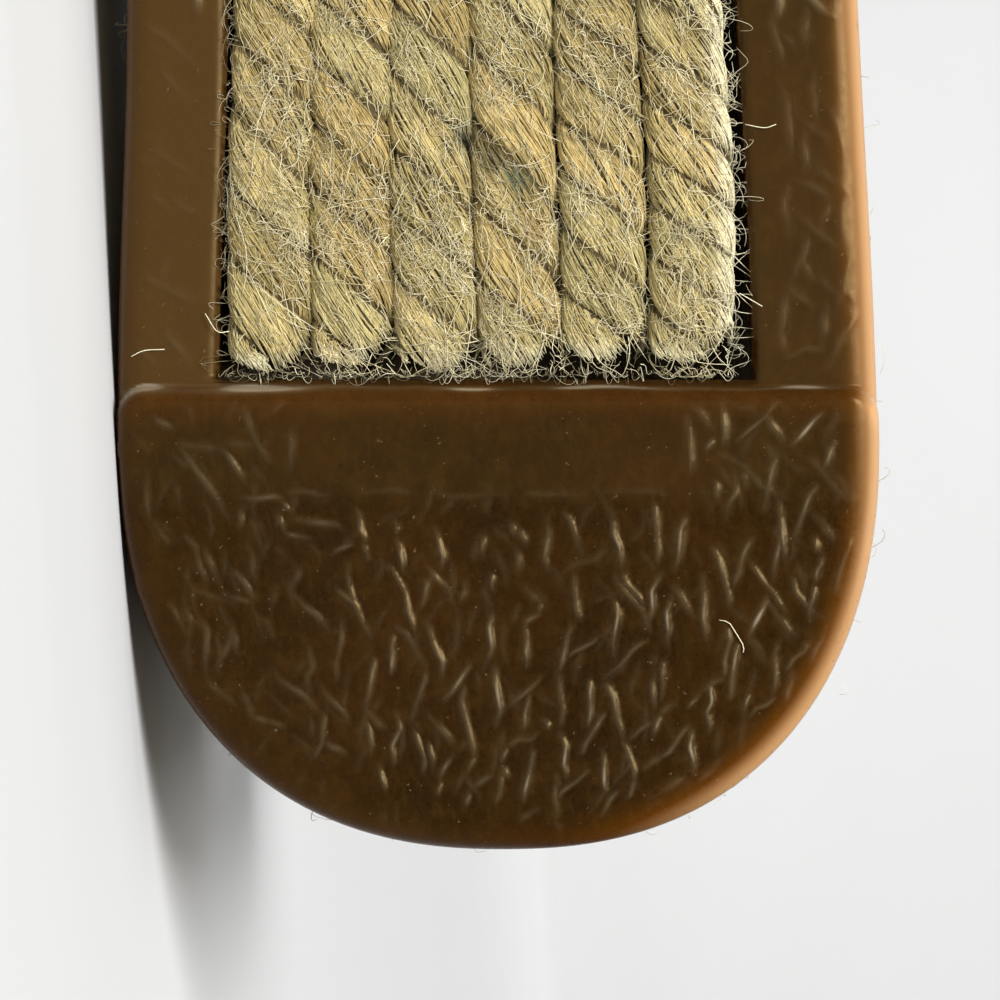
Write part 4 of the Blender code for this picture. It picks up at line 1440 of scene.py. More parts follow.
def rope_core(index):
    """The body of a rope under its outer fibres, with its three strands wound round it, painted dark as
    the shade between the strands.
    """
    start = INLAY_START + END_BACK[index] + CORE_BACK
    along = np.linspace(start, INLAY_END - CORE_BACK, CORE_STATIONS)
    turn = 2 * np.pi * np.arange(CORE_SIDES) / CORE_SIDES - np.pi
    turns, y = np.meshgrid(turn, along)
    reach = strand_reach(strand_place(index, y, turns) % 1) - CORE_DEEP
    points = inlay_point(index, y, turns, reach)
    at = np.arange(CORE_STATIONS * CORE_SIDES).reshape(-1, CORE_SIDES)
    low, high = at[:-1], at[1:]
    walls = np.stack([low, np.roll(low, -1, axis=1), np.roll(high, -1, axis=1), high], axis=2)
    faces = walls.reshape(-1, 4)[:, ::-1].tolist() + [at[0].tolist(), at[-1, ::-1].tolist()]
    points = points.reshape(-1, 3)
    # Painted shade in the gaps between the strands
    return (points, faces), np.repeat(JUTE_CORE_PAINTED_SHADE[None], len(points), axis=0)


def inlay_surface(index, across, along):
    """Lowest height of a rope's round body, where loose fibres lie on it."""
    off = (across - inlay_centre(index, along)) / INLAY_HALF_WIDE
    power = INLAY_SQUARENESS
    round_off = np.clip(1 - abs(off) ** power, LEAST_ROUND, 1) ** (1 / power)
    return INLAY_MIDDLE + lift(along) - INLAY_HALF_HIGH * inlay_end_share(along) * round_off


def kept_in_window(along, low=WINDOW_START + NEAR_CLEAR):
    """Places along the shoe, with those past the window's ends turned back into it."""
    high = WINDOW_END - FAR_CLEAR
    along = np.where(along < low, low + 0.5 * (low - along), along)
    return np.where(along > high, high - 0.5 * (along - high), along)


def kept_over_strip(paths):
    """Fibre paths, held clear of the strip of rubber between the window and the heel pad."""
    over = paths[:, :, 1] < WINDOW_START + STRIP_REACH
    paths[:, :, 2] = np.where(over, np.minimum(paths[:, :, 2], STRIP_HEIGHT), paths[:, :, 2])
    return paths


def places_along(rng, count, near_heel):
    """Random places along a rope, with a given share of them in its part near the heel."""
    near = rng.random(count) < near_heel
    near_places = rng.uniform(INLAY_START, SEEN_END, count)
    return np.where(near, near_places, rng.uniform(SEEN_END, INLAY_END, count))


def hairs(paths, radii, tone, dark):
    """Fine tubes along paths, and their colours: from dark to cream by the tone of each."""
    tone = np.repeat(tone, LOOSE_POINTS * HAIR_SIDES)[:, None]
    return tubes(paths, radii, HAIR_SIDES), dark + tone * (JUTE_CREAM - dark)


def loose_fibres(rng, index):
    """Fuzz of an inlay rope: fine curled fibres that follow its surface and lift off it."""
    count = LOOSE_FIBRES
    y = places_along(rng, count, LOOSE_SEEN)
    x = inlay_centre(index, y) + INLAY_HALF_WIDE * rng.uniform(-1.0, 1.0, count)
    tufts = rng.uniform(INLAY_START + 1, SEEN_END, TUFTS)
    tuft_side = rng.uniform(-TUFT_SIDE, TUFT_SIDE, TUFTS)
    tufted = rng.random(count) < TUFTED
    pick = rng.integers(0, TUFTS, count)
    y = np.where(tufted, tufts[pick] + rng.normal(0, TUFT_SPREAD, count), y)
    y = np.clip(y, INLAY_START - TUFT_PAST, INLAY_END + TUFT_PAST)
    tuft_x = inlay_centre(index, y) + INLAY_HALF_WIDE * tuft_side[pick]
    x = np.where(tufted, tuft_x + rng.normal(0, TUFT_SPREAD, count), x)
    along_lay = rng.normal(np.radians(LAY_HEADING), np.radians(LAY_SPREAD), count)
    any_way = rng.uniform(0, np.pi, count)
    heading = np.where(rng.random(count) < WITH_LAY, along_lay, any_way)
    heading = heading + np.where(rng.random(count) < 0.5, np.pi, 0)
    length = rng.uniform(*LOOSE_LENGTH, count) * rng.uniform(*LOOSE_SHORTER, count)
    far_run = rng.random(count) < LONG_SHARE
    length = np.where(far_run, rng.uniform(*LONG_LENGTH, count), length)
    t = np.linspace(0, 1, LOOSE_POINTS)
    curl = rng.normal(0, LOOSE_CURL, (count, 1)) * np.where(far_run, LONG_CURL, 1.0)[:, None]
    wave = rng.normal(0, LOOSE_WAVE, (count, 1)) * np.where(far_run, LONG_WAVE, 1.0)[:, None]
    phase = rng.uniform(0, HAIR_PHASES, (count, 1))
    turn = heading[:, None] + curl * t + wave * np.sin(2 * np.pi * t + phase)
    step = (length / (LOOSE_POINTS - 1))[:, None]
    px = x[:, None] + np.cumsum(np.sin(turn), axis=1) * step
    py = kept_in_window(y[:, None] + np.cumsum(np.cos(turn), axis=1) * step)
    free = rng.random((count, 1)) < FREE_ENDS
    rise = np.where(free, t**FREE_RISE, np.sin(np.pi * t))
    height = np.abs(rng.normal(0, LOOSE_RISE, (count, 1))) + LEAST_RISE
    pz = inlay_surface(index, px, py) - LOOSE_DEEP - height * rise
    paths = kept_over_strip(np.stack([px, py, pz], axis=2))
    radii = rng.uniform(*LOOSE_RADIUS, (count, 1)) * (1 - LOOSE_TAPER * t**2)
    tone = np.clip(rng.normal(*LOOSE_TONE, count), 0, 1)
    return hairs(paths, radii, tone, JUTE_LIGHT * LOOSE_DARK)


def end_hairs(rng, index):
    """Frayed fibres at the cut ends of a rope."""
    count = EDGE_HAIRS
    t = np.linspace(0, 1, LOOSE_POINTS)
    at_start = rng.random(count) < FRAYED_AT_START
    from_start = INLAY_START + rng.uniform(*FRAYED_BACK, count)
    from_end = INLAY_END - rng.uniform(*FRAYED_BACK, count)
    base_y = np.where(at_start, from_start, from_end)
    ahead = np.where(at_start, -1.0, 1.0)
    x = inlay_centre(index, base_y) + INLAY_HALF_WIDE * FRAYED_WIDE * rng.uniform(-1, 1, count)
    z = inlay_surface(index, x, base_y) + rng.uniform(*FRAYED_DEEP, count)
    side = rng.normal(0, FRAYED_SIDE, count)
    sway = FRAYED_SWAY * np.sin(FRAYED_TURN * t + rng.uniform(0, HAIR_PHASES, (count, 1)))
    px = x[:, None] + side[:, None] * t + sway
    reach = ahead * rng.uniform(*FRAYED_REACH, count)
    py = base_y[:, None] + reach[:, None] * np.sin(np.pi * t * FRAYED_BEND)
    pz = z[:, None] - rng.uniform(*FRAYED_DROP, (count, 1)) * t
    paths = kept_over_strip(np.stack([px, kept_in_window(py, STRIP_START), pz], axis=2))
    radii = rng.uniform(*FRAYED_RADIUS, (count, 1)) * (1 - FRAYED_TAPER * t)
    tone = rng.uniform(0.0, 1.0, count) ** FRAYED_TONE
    return hairs(paths, radii, tone, JUTE_DARK * FRAYED_DARK)


def flank_hairs(rng, index, flank):
    """Fine curls that stand out from the side of an outermost rope, over the gap to the rail."""
    count = FLANK_HAIRS
    t = np.linspace(0, 1, LOOSE_POINTS)
    y = places_along(rng, count, FLANK_SEEN)
    out = rng.gamma(*FLANK_OUT, count)[:, None] * np.sin(np.pi * t * FLANK_BEND)
    run = rng.normal(0, FLANK_RUN, count)
    curl = rng.uniform(*FLANK_CURL, (count, 1))
    turn = FLANK_TURN * t + rng.uniform(0, HAIR_PHASES, (count, 1))
    x = inlay_centre(index, y) + flank * INLAY_HALF_WIDE * rng.uniform(*FLANK_FROM, count)
    px = x[:, None] + flank * (out + curl * np.sin(turn) * t)
    py = kept_in_window(y[:, None] + run[:, None] * t + curl * np.cos(turn) * t)
    start_z = inlay_surface(index, x, y) + rng.uniform(*FLANK_DEEP, count)
    pz = start_z[:, None] - rng.uniform(*FLANK_DROP, (count, 1)) * np.sin(np.pi * t * FLANK_DROP_BEND)
    pz = np.minimum(pz, np.where(out > FLANK_OVER_RAIL, FLANK_RAIL + lift(py), FLANK_FREE))
    radii = rng.uniform(*FLANK_RADIUS, (count, 1)) * (1 - FLANK_TAPER * t)
    tone = rng.uniform(*FLANK_TONE, count)
    return hairs(np.stack([px, py, pz], axis=2), radii, tone, JUTE_DARK * FLANK_DARK)


def lay_of(points):
    """Lines along the shoe for the fine grain of a fibre, in millimetres."""
    return np.column_stack([points[:, 0] + points[:, 2], points[:, 1], points[:, 2]])


def flank_with_painted_light(colours, points, index):
    """Fibre colours with painted light: paler on the flank that faces the inner rail, the side that the
    light falls on.
    """
    off = (inlay_centre(index, points[:, 1]) - points[:, 0]) / INLAY_HALF_WIDE
    share = FLANK_PAINTED_LIGHT * ease(*FLANK_PAINTED_LIGHT_FROM, off)
    return colours + share[:, None] * (JUTE_CREAM - colours)


def make_inlay_rope(index, material):
    rng = np.random.default_rng(ROPE_SEED + index)
    made = [rope_core(index)]
    first = math.floor(strand_place(index, INLAY_START, math.pi)) - 1
    last = math.ceil(strand_place(index, INLAY_END, -math.pi)) + 1
    for strand in range(first, last):
        fibres = strand_fibres(rng, index, strand)
        if fibres is not None:
            made.append(fibres)
    made.append(loose_fibres(rng, index))
    made.append(end_hairs(rng, index))
    innermost = index == INLAY_ROPES - 1
    if index == 0 or innermost:
        made.append(flank_hairs(rng, index, -1.0 if innermost else 1.0))
    points, faces = join_shapes([shape for shape, _ in made])
    colours = stained(np.vstack([colours for _, colours in made]), points)
    # Painted light on the lit flank of the innermost rope's fibres, not its core
    if innermost:
        fibres = slice(len(made[0][1]), None)
        colours[fibres] = flank_with_painted_light(colours[fibres], points[fibres], index)
    piece = mesh_piece(f"laid_rope_{index + 1}", points, faces)
    keep_jute(piece.data, colours, lay_of(points))
    finish_piece(piece, material, "jute_rope", f"inlay_rope_{index + 1}")


# Rope courses of the midsole
COURSE_STATIONS = 470
COURSE_PITCH = 16.0
COURSE_SIDES = 8
COURSE_FUZZ = 1300
COURSE_TINT = np.array((0.92, 0.92, 1.05))
COURSES = 2
COURSE_TONE = (0.15, 0.5)
COURSE_SHIFT = 0.17
COURSE_SWING = 0.5
COURSE_STRAND = 0.56
COURSE_UNEVEN = 0.04
COURSE_UNEVEN_TURN = 0.7
STRAND_LAY_SHIFT = 40.0
LAY_AROUND = 7
MIDSOLE_SEED = 55
FUZZ_LOOP = 1200
FUZZ_RUN = 2.2
FUZZ_REACH = (1.6, 0.55)
FUZZ_WIGGLE = (0.1, 0.45)
FUZZ_TURN = 4
FUZZ_BEND = 0.7
FUZZ_ROOT = 0.5
FUZZ_CLEAR = 0.4
FUZZ_RISE = 1.0
FUZZ_RADIUS = (0.025, 0.05)
FUZZ_TAPER = 0.5
FUZZ_TONE = (0.2, 1.0)
# Painted shade: the midsole body behind the rope courses, darker than the rope's core
BODY_DARK = 0.8
BODY_INSET = 1.5
BODY_RISE = 0.22
BODY_TOP_CLEAR = 0.3

# Copies of the solids: where points merge, and how flat two triangles of one quad are
COPY_MERGE = 0.01
QUAD_BEND = math.radians(50)
QUAD_SKEW = math.radians(60)


def copy_of_node(node, name):
    """A merged copy of a solid's mesh, with its triangles joined into quads, in the shoe's frame."""
    source = frame["nodes"][node]
    mesh = source.data.copy()
    mesh.name = name
    piece = bpy.data.objects.new(name, mesh)
    bpy.context.collection.objects.link(piece)
    mesh.transform(SHOE.inverted())
    if mesh.has_custom_normals:
        make_active(piece)
        bpy.ops.mesh.customdata_custom_splitnormals_clear()
    select(piece, faces=np.ones(len(mesh.polygons), bool))
    enter_edit(piece, "FACE")
    bpy.ops.mesh.remove_doubles(threshold=COPY_MERGE)
    bpy.ops.mesh.tris_convert_to_quads(face_threshold=QUAD_BEND, shape_threshold=QUAD_SKEW)
    bpy.ops.mesh.mark_sharp(clear=True)
    leave_edit()
    return piece


def course_strands(course):
    """Three laid strands of one course of rope round the sole."""
    radius = ROPE_COURSE / 2
    loop = outline(MIDSOLE_INSET + radius, COURSE_STATIONS)
    out = -inward(loop)
    z = MIDSOLE_BOTTOM + radius + ROPE_COURSE * course + lift(loop[:, 1])
    walked = walked_along(np.vstack([loop, loop[:1]]))
    turns = round(walked[-1] / COURSE_PITCH)
    swing = COURSE_SWING * radius
    run = np.append(walked, walked[-1] + walked[1])
    shapes = []
    for strand in range(STRANDS):
        shift = strand / STRANDS + COURSE_SHIFT * course
        angle = 2 * np.pi * (walked[:-1] / walked[-1] * turns + shift)
        path = np.column_stack([loop + out * (swing * np.cos(angle))[:, None], z + swing * np.sin(angle)])
        path = np.vstack([path, path[:2]])
        uneven = COURSE_UNEVEN * np.sin(COURSE_UNEVEN_TURN * np.arange(len(path)))
        thick = radius * COURSE_STRAND * (1 + uneven)
        around = 2 * np.pi * np.arange(COURSE_SIDES) / COURSE_SIDES + STRAND_LAY_SHIFT * strand
        lay = np.broadcast_arrays(np.cos(around), run[:, None], LAY_AROUND * np.sin(around))
        lay = np.stack(lay, axis=2).reshape(-1, 3)
        shapes.append((tubes(path[None], thick[None], COURSE_SIDES), lay))
    return shapes


def course_fuzz(rng):
    """Loose fibres that stand off the rope courses, some of them past the edge of the outsole."""
    count = COURSE_FUZZ
    loop = outline(MIDSOLE_INSET, FUZZ_LOOP)
    out = -inward(loop)
    pick = rng.integers(0, len(loop), count)
    t = np.linspace(0, 1, LOOSE_POINTS)
    along = np.column_stack([-out[pick, 1], out[pick, 0]])
    run = rng.normal(0, FUZZ_RUN, count)
    reach = rng.gamma(*FUZZ_REACH, count)
    phase = rng.uniform(0, HAIR_PHASES, (count, 1))
    wiggle = rng.uniform(*FUZZ_WIGGLE, (count, 1)) * np.sin(FUZZ_TURN * t + phase) * t
    forward = run[:, None] * t + wiggle
    outward = reach[:, None] * np.sin(np.pi * t * FUZZ_BEND) - FUZZ_ROOT * (1 - t)
    px, py = (
        loop[pick, axis, None] + along[:, axis, None] * forward + out[pick, axis, None] * outward
        for axis in range(2)
    )
    above = rng.uniform(FUZZ_CLEAR, COURSES * ROPE_COURSE - FUZZ_CLEAR, count)
    z = MIDSOLE_BOTTOM + above + lift(loop[pick, 1])
    pz = z[:, None] + rng.normal(0, FUZZ_RISE, (count, 1)) * t + wiggle
    radii = rng.uniform(*FUZZ_RADIUS, (count, 1)) * (1 - FUZZ_TAPER * t)
    return hairs(np.stack([px, py, pz], axis=2), radii, rng.uniform(*FUZZ_TONE, count), JUTE_DARK)


def midsole_body():
    """The solid midsole, drawn in behind its rope but raised to the upper's edge, and painted darker than
    the rope's core as the shade behind the rope courses.
    """
    body = copy_of_node("midsole", "rope_midsole_core")
    enter_edit(body, "FACE")
    bpy.ops.mesh.select_all(action="SELECT")
    bpy.ops.transform.shrink_fatten(value=-BODY_INSET)
    leave_edit()
    points = coordinates(body.data)
    top = points[:, 2] - lift(points[:, 1]) > MIDSOLE_TOP - BODY_INSET - BODY_TOP_CLEAR
    points[top, 2] = MIDSOLE_TOP + BODY_RISE + lift(points[top, 1])
    set_coordinates(body.data, points)
    # Painted shade: the body's colour is a darker share of the core's
    keep_jute(body.data, np.repeat(JUTE_CORE_PAINTED_SHADE[None] * BODY_DARK, len(points), axis=0), lay_of(points))
    return body


def make_midsole(material):
    rng = np.random.default_rng(MIDSOLE_SEED)
    made = []
    for course in range(COURSES):
        for shape, lay in course_strands(course):
            colour = JUTE_DARK + rng.uniform(*COURSE_TONE) * (JUTE_LIGHT - JUTE_DARK)
            made.append((shape, np.repeat((colour * COURSE_TINT)[None], len(shape[0]), axis=0), lay))
    shape, colours = course_fuzz(rng)
    made.append((shape, colours, lay_of(shape[0])))
    shapes, colours, lays = zip(*made)
    points, faces = join_shapes(shapes)
    body = midsole_body()
    piece = mesh_piece("rope_midsole", points, faces)
    keep_jute(piece.data, np.vstack(colours), np.vstack(lays))
    make_active(piece)
    body.select_set(True)
    bpy.ops.object.join()
    finish_piece(piece, material, "jute_rope", "midsole")


def smooth_cage(piece, levels):
    """Finishes a coarse cage with applied subdivision."""
    make_active(piece)
    modifier = piece.modifiers.new("soft", "SUBSURF")
    modifier.levels = levels
    modifier.render_levels = levels
    bpy.ops.object.modifier_apply(modifier=modifier.name)


def corner_points(mesh):
    """Point of each corner of a mesh's faces."""
    return read_each(mesh.loops, "vertex_index", kind=np.int32)


def flat_map(piece):
    """Map in millimetres straight down on the sole, for a flat cloth."""
    mesh = piece.data
    layer = mesh.uv_layers.new(name="cloth")
    flat = coordinates(mesh)[corner_points(mesh), :2]
    layer.data.foreach_set("uv", flat.astype(np.float32).ravel())


# Seams of the map: sharp rims, and the upright edges at the back; then the edges that set its scale
RIM_SHARP = math.radians(50)
UPRIGHT = 0.2
BACK_SEAM_HALF = 0.3
BACK_SEAM_END = 20
MAP_MARGIN = 0.002
LEAST_FLAT = 1e-5
SCALE_EDGES = (0.5, 12)


def unwrapped_map(piece):
    """Map in millimetres that follows the cloth, cut at the rims and down the back seam."""
    mesh = piece.data
    while mesh.uv_layers:
        mesh.uv_layers.remove(mesh.uv_layers[0])
    mesh.uv_layers.new(name="cloth")
    points = coordinates(mesh)
    enter_edit(piece, "EDGE")
    bpy.ops.mesh.select_all(action="DESELECT")
    bpy.ops.mesh.edges_select_sharp(sharpness=RIM_SHARP)
    bpy.ops.mesh.mark_seam()
    leave_edit()
    pairs = edge_points(mesh)
    middle = points[pairs].mean(axis=1)
    run = points[pairs[:, 1]] - points[pairs[:, 0]]
    upright = abs(run[:, 0]) < UPRIGHT * np.linalg.norm(run, axis=1)
    back = (abs(middle[:, 0] - centre(0.0)) < BACK_SEAM_HALF) & (middle[:, 1] < BACK_SEAM_END)
    select(piece, edges=back & upright)
    enter_edit(piece, "EDGE")
    bpy.ops.mesh.mark_seam()
    bpy.ops.mesh.select_all(action="SELECT")
    bpy.ops.uv.unwrap(method="ANGLE_BASED", margin=MAP_MARGIN)
    leave_edit()
    layer = mesh.uv_layers["cloth"]
    uv = read_each(layer.data, "uv", 2)
    real = np.linalg.norm(np.diff(points[corner_points(mesh)], axis=0), axis=1)
    flat = np.linalg.norm(np.diff(uv, axis=0), axis=1)
    shortest, longest = SCALE_EDGES
    inside = (flat > LEAST_FLAT) & (real > shortest) & (real < longest)
    ratio = np.median(real[inside] / flat[inside])
    layer.data.foreach_set("uv", (uv * ratio).astype(np.float32).ravel())


def make_insole(material):
    piece = copy_of_node("insole", "insole_cloth")
    flat_map(piece)
    finish_piece(piece, material, "insole_jute_cloth", "insole")


class VampCrease(NamedTuple):
    """A flex crease over the vamp, in plan: two ends, bow towards the toe, half width and depth."""

    across: float
    along: float
    to_across: float
    to_along: float
    bow: float
    width: float
    depth: float


VAMP_CREASES = (
    VampCrease(-29, 171, 26, 166, 4.0, 3.4, 1.9),
    VampCrease(-25, 182, 28, 178, 3.0, 3.1, 1.5),
    VampCrease(-20, 160, 6, 157, 2.0, 2.8, 1.1),
    VampCrease(2, 192, 27, 188, -2.0, 2.9, 1.0),
)


class SideCrease(NamedTuple):
    """A slack crease on a quarter, seen from the side: its two ends, its half width and depth."""

    side: int
    along: float
    height: float
    to_along: float
    to_height: float
    width: float
    depth: float


SIDE_CREASES = (
    SideCrease(1, 104, 44, 134, 30, 3.0, 1.2),
    SideCrease(1, 100, 38, 118, 27, 2.6, 0.8),
    SideCrease(1, 58, 45, 80, 35, 3.0, 0.8),
    SideCrease(1, 24, 53, 46, 39, 3.2, 0.9),
    SideCrease(-1, 106, 43, 132, 29, 3.0, 1.1),
    SideCrease(-1, 100, 39, 114, 28, 2.6, 0.8),
    SideCrease(-1, 56, 46, 78, 34, 3.0, 0.8),
    SideCrease(-1, 22, 54, 44, 40, 3.2, 0.9),
)
CREASE_POINTS = 26
CREASE_TAPER = (0.04, 0.7)
CREASE_WAVE = 1.2
CREASE_FULL = 1.4
CREASE_SWELL = 0.45
CREASE_SWELL_AT = 1.9

# Collar, feather line and seams of the upper
COLLAR_SHARES = (0.0, 0.05, 0.2, 0.42, 0.56, 0.72, 0.86, 0.95, 1.0)
COLLAR_HEIGHTS = (65.6, 65.3, 60.5, 51.5, 50.0, 54.0, 63.6, 68.4, 69.0)
COLLAR_BACK = 4.0
COLLAR_REACH = 73.0
COLLAR_HALF = 26.5
COLLAR_FULLNESS = 0.78
FEATHER = 18.2
UPPER_AXIS = 38.0
SIDE_SEAM_ALONG = 92.0
SIDE_SEAM_LEAN = 0.12
SIDE_SEAM_ROWS = (1.2, 3.6)
HEM_ROW = 5.0
PUCKER_HIGH = 0.42
PUCKER_FADE = 6.0
PUCKER_FROM = (0.0, 1.5)
PUCKER_EVEN = 0.25
PUCKER_TOE = 0.75
PUCKER_TOE_ALONG = (180, 205)
PUCKER_HEEL = 0.5
PUCKER_HEEL_BACK = (-30, -12)
CAGE_LEVELS = 2
COLLAR_POINTS = 240
COLLAR_STEP = 0.8
HEM_OUT = 3.0
HEM_DOWN = 1.0
SEAM_COLLAR_ALONG = (90.0, 100.0)
SEAM_COLLAR_HEIGHTS = (49.4, 50.2)
SEAM_FROM = 2.0
SEAM_POINTS = 60
STITCH_LONG = 2.5
STITCH_STEP = 3.4
STITCH_RADIUS = 0.24
STITCH_START = 0.6
STITCH_RISE = np.array((-0.2, 0.14, 0.2, 0.14, -0.2))
STITCH_SIDES = 5
BLANKET_STEP = 7.2
BLANKET_TOP = 22.6
BLANKET_RADIUS = 0.55
BLANKET_SIDES = 6
BAR_LOW = ((1.0, 14.6), (0.75, 15.6), (1.1, 16.9))
BAR_HIGH = np.array((19.2, 20.6, BLANKET_TOP))
BAR_OFF = np.array((0.35, 0.4, -0.5))
LINE_SKIP = 6
LINE_DOWN = 0.3
LINE_OFF = 0.3
LINE_SHARE = 0.9
RAY_OUT = 12
FAR_OUT = 70.0
COLLAR_SOFT = 2.0
COLLAR_SMOOTH = 0.5
COLLAR_ROUNDS = 4
EDGE_DRAWN = 0.33
EDGE_DRAWN_FROM = 0.2
EDGE_DRAWN_TO = 2.2


def topline():
    """Points of the collar's edge, from the heel up the outer side to the throat and back."""
    share = np.linspace(0, 1, COLLAR_POINTS)
    turn = np.pi * share
    y = COLLAR_BACK + COLLAR_REACH * (1 - np.cos(turn))
    wide = COLLAR_HALF * np.sin(turn) ** COLLAR_FULLNESS
    z = smooth(COLLAR_SHARES, COLLAR_HEIGHTS, share)
    outer = np.column_stack([centre(y) + wide, y, z])
    inner = np.column_stack([centre(y) - wide, y, z])[::-1]
    return even_steps(np.vstack([outer, inner[1:]]), COLLAR_STEP)


def even_steps(path, step):
    """The same path, with points at even steps."""
    walked = walked_along(path)
    return read_along(walked, path, np.linspace(0, walked[-1], max(2, int(walked[-1] / step))))


def surface_of(piece):
    """The piece's surface, for rays and nearest points."""
    faces = [face.vertices[:] for face in piece.data.polygons]
    return BVHTree.FromPolygons(coordinates(piece.data).tolist(), faces)


def cast(surface, starts, ways):
    """Where rays first meet the surface, and its normals there; rays that miss it are left out."""
    hits = [surface.ray_cast(Vector(start), Vector(way)) for start, way in zip(starts, ways)]
    hits = [hit for hit in hits if hit[0] is not None]
    return np.array([hit[0] for hit in hits]), np.array([hit[1] for hit in hits])


def distance_to(points, path):
    """Distance of points from the close points of a path in space."""
    tree = tree_of(path)
    return np.array([tree.find(point)[2] for point in points])


def crease_lines(surface):
    """Each crease as points on the cloth, with its half width and its depth along it."""
    t = np.linspace(0, 1, CREASE_POINTS)
    depth = soft_ends(t, *CREASE_TAPER)
    lines = []
    for row in VAMP_CREASES:
        x = row.across + (row.to_across - row.across) * t
        y = row.along + (row.to_along - row.along) * t + row.bow * np.sin(np.pi * t)
        starts = np.column_stack([x, y, np.full(len(t), 2 * FAR_OUT)])
        found, _ = cast(surface, starts, np.tile((0.0, 0.0, -1.0), (len(t), 1)))
        lines.append((found, row.width, row.depth * depth[:len(found)]))
    for row in SIDE_CREASES:
        y = row.along + (row.to_along - row.along) * t
        z = row.height + (row.to_height - row.height) * t + CREASE_WAVE * np.sin(2 * np.pi * t)
        starts = np.column_stack([np.full(len(t), row.side * FAR_OUT), y, z])
        found, _ = cast(surface, starts, np.tile((-row.side, 0.0, 0.0), (len(t), 1)))
        lines.append((found, row.width, row.depth * depth[:len(found)]))
    return lines


def shape_canvas(piece):
    """Creases the cloth over the ball and on the quarters, and puckers it along the feather line."""
    mesh = piece.data
    points = coordinates(mesh)
    normals = read_each(mesh.vertices, "normal", 3).astype(float)
    axis = np.column_stack([centre(points[:, 1]), points[:, 1], np.full(len(points), UPPER_AXIS)])
    facing = ((points - axis) * normals).sum(axis=1)
    outward = normals * np.where(facing < 0, -1.0, 1.0)[:, None]
    move = np.zeros(len(points))
    for line, width, depth in crease_lines(surface_of(piece)):
        gap = np.linalg.norm(points[:, None] - line, axis=2)
        nearest = gap.argmin(axis=1)
        away = gap.min(axis=1) / width
        move += depth[nearest] * (CREASE_SWELL * bell(away - CREASE_SWELL_AT) - bell(away))
    # Depth of the creases' troughs, for their painted shade
    keep_value(mesh, "crease", np.clip(-move / CREASE_FULL, 0, 1))
    loop = outline()
    _, nearest = edge_distance(points[:, :2], loop)
    step = np.linalg.norm(loop[1] - loop[0])
    above = points[:, 2] - FEATHER - lift(points[:, 1])
    at_toe = PUCKER_TOE * ease(*PUCKER_TOE_ALONG, points[:, 1])
    at_heel = PUCKER_HEEL * ease(*PUCKER_HEEL_BACK, -points[:, 1])
    wave = np.cos(2 * np.pi * nearest * step / BLANKET_STEP)
    puckers = PUCKER_HIGH * (PUCKER_EVEN + at_toe + at_heel) * wave
    move -= puckers * bell(above, PUCKER_FADE) * ease(*PUCKER_FROM, above)
    set_coordinates(mesh, points + outward * move[:, None])
    keep_value(mesh, "hem", distance_to(points, topline()))
    keep_value(mesh, "seam", points[:, 1] - SIDE_SEAM_ALONG - SIDE_SEAM_LEAN * (points[:, 2] - FEATHER))


def stitch_row(path, normals):
    """A row of short stitches along a path on the cloth; each dips in at its ends."""
    walked = walked_along(path)
    starts = np.arange(STITCH_START, walked[-1] - STITCH_LONG, STITCH_STEP)
    at = starts[:, None] + STITCH_LONG * np.linspace(0, 1, len(STITCH_RISE))
    paths = read_along(walked, path, at) + read_along(walked, normals, at) * STITCH_RISE[:, None]
    return tubes(paths, np.full(at.shape, STITCH_RADIUS), STITCH_SIDES)


def hem_path(surface):
    """The hem's stitch line on the outside of the cloth, under the collar's edge."""
    edge = topline()
    tangent = np.gradient(edge, axis=0)
    middle = np.array((0.0, COLLAR_BACK + COLLAR_REACH))
    out = edge[:, :2] - middle
    out /= np.linalg.norm(out, axis=1)[:, None]
    places = []
    normals = []
    for point, way, aside in zip(edge, tangent, out):
        beside = Vector((*(point[:2] + HEM_OUT * aside), point[2] - HEM_DOWN))
        normal = surface.find_nearest(beside)[1]
        down = Vector(way).cross(normal).normalized()
        if down.z > 0:
            down = -down
        found = surface.find_nearest(Vector(point) + HEM_ROW * down + normal)
        places.append(found[0])
        normals.append(found[1])
    return np.array(places), np.array(normals)


def seam_path(surface, side, forward):
    """A stitch line of a side seam, from the feather line up to the hem."""
    top = np.interp(SIDE_SEAM_ALONG, SEAM_COLLAR_ALONG, SEAM_COLLAR_HEIGHTS) - HEM_ROW
    z = np.linspace(FEATHER + SEAM_FROM, top, SEAM_POINTS)
    y = SIDE_SEAM_ALONG + SIDE_SEAM_LEAN * (z - FEATHER) + forward
    starts = np.column_stack([np.full(len(z), side * FAR_OUT), y, z])
    return cast(surface, starts, np.tile((-side, 0.0, 0.0), (len(z), 1)))


def thread_piece(name, shapes, material):
    points, faces = join_shapes(shapes)
    piece = mesh_piece(name, points, faces)
    keep_lay(piece.data, lay_of(points))
    finish_piece(piece, material, "canvas")


def make_stitches(surface, material):
    """Cotton stitches of the hem and the side seams."""
    shapes = [stitch_row(*hem_path(surface))]
    for side in (-1, 1):
        for forward in SIDE_SEAM_ROWS:
            shapes.append(stitch_row(*seam_path(surface, side, forward)))
    thread_piece("cotton_stitches", shapes, material)


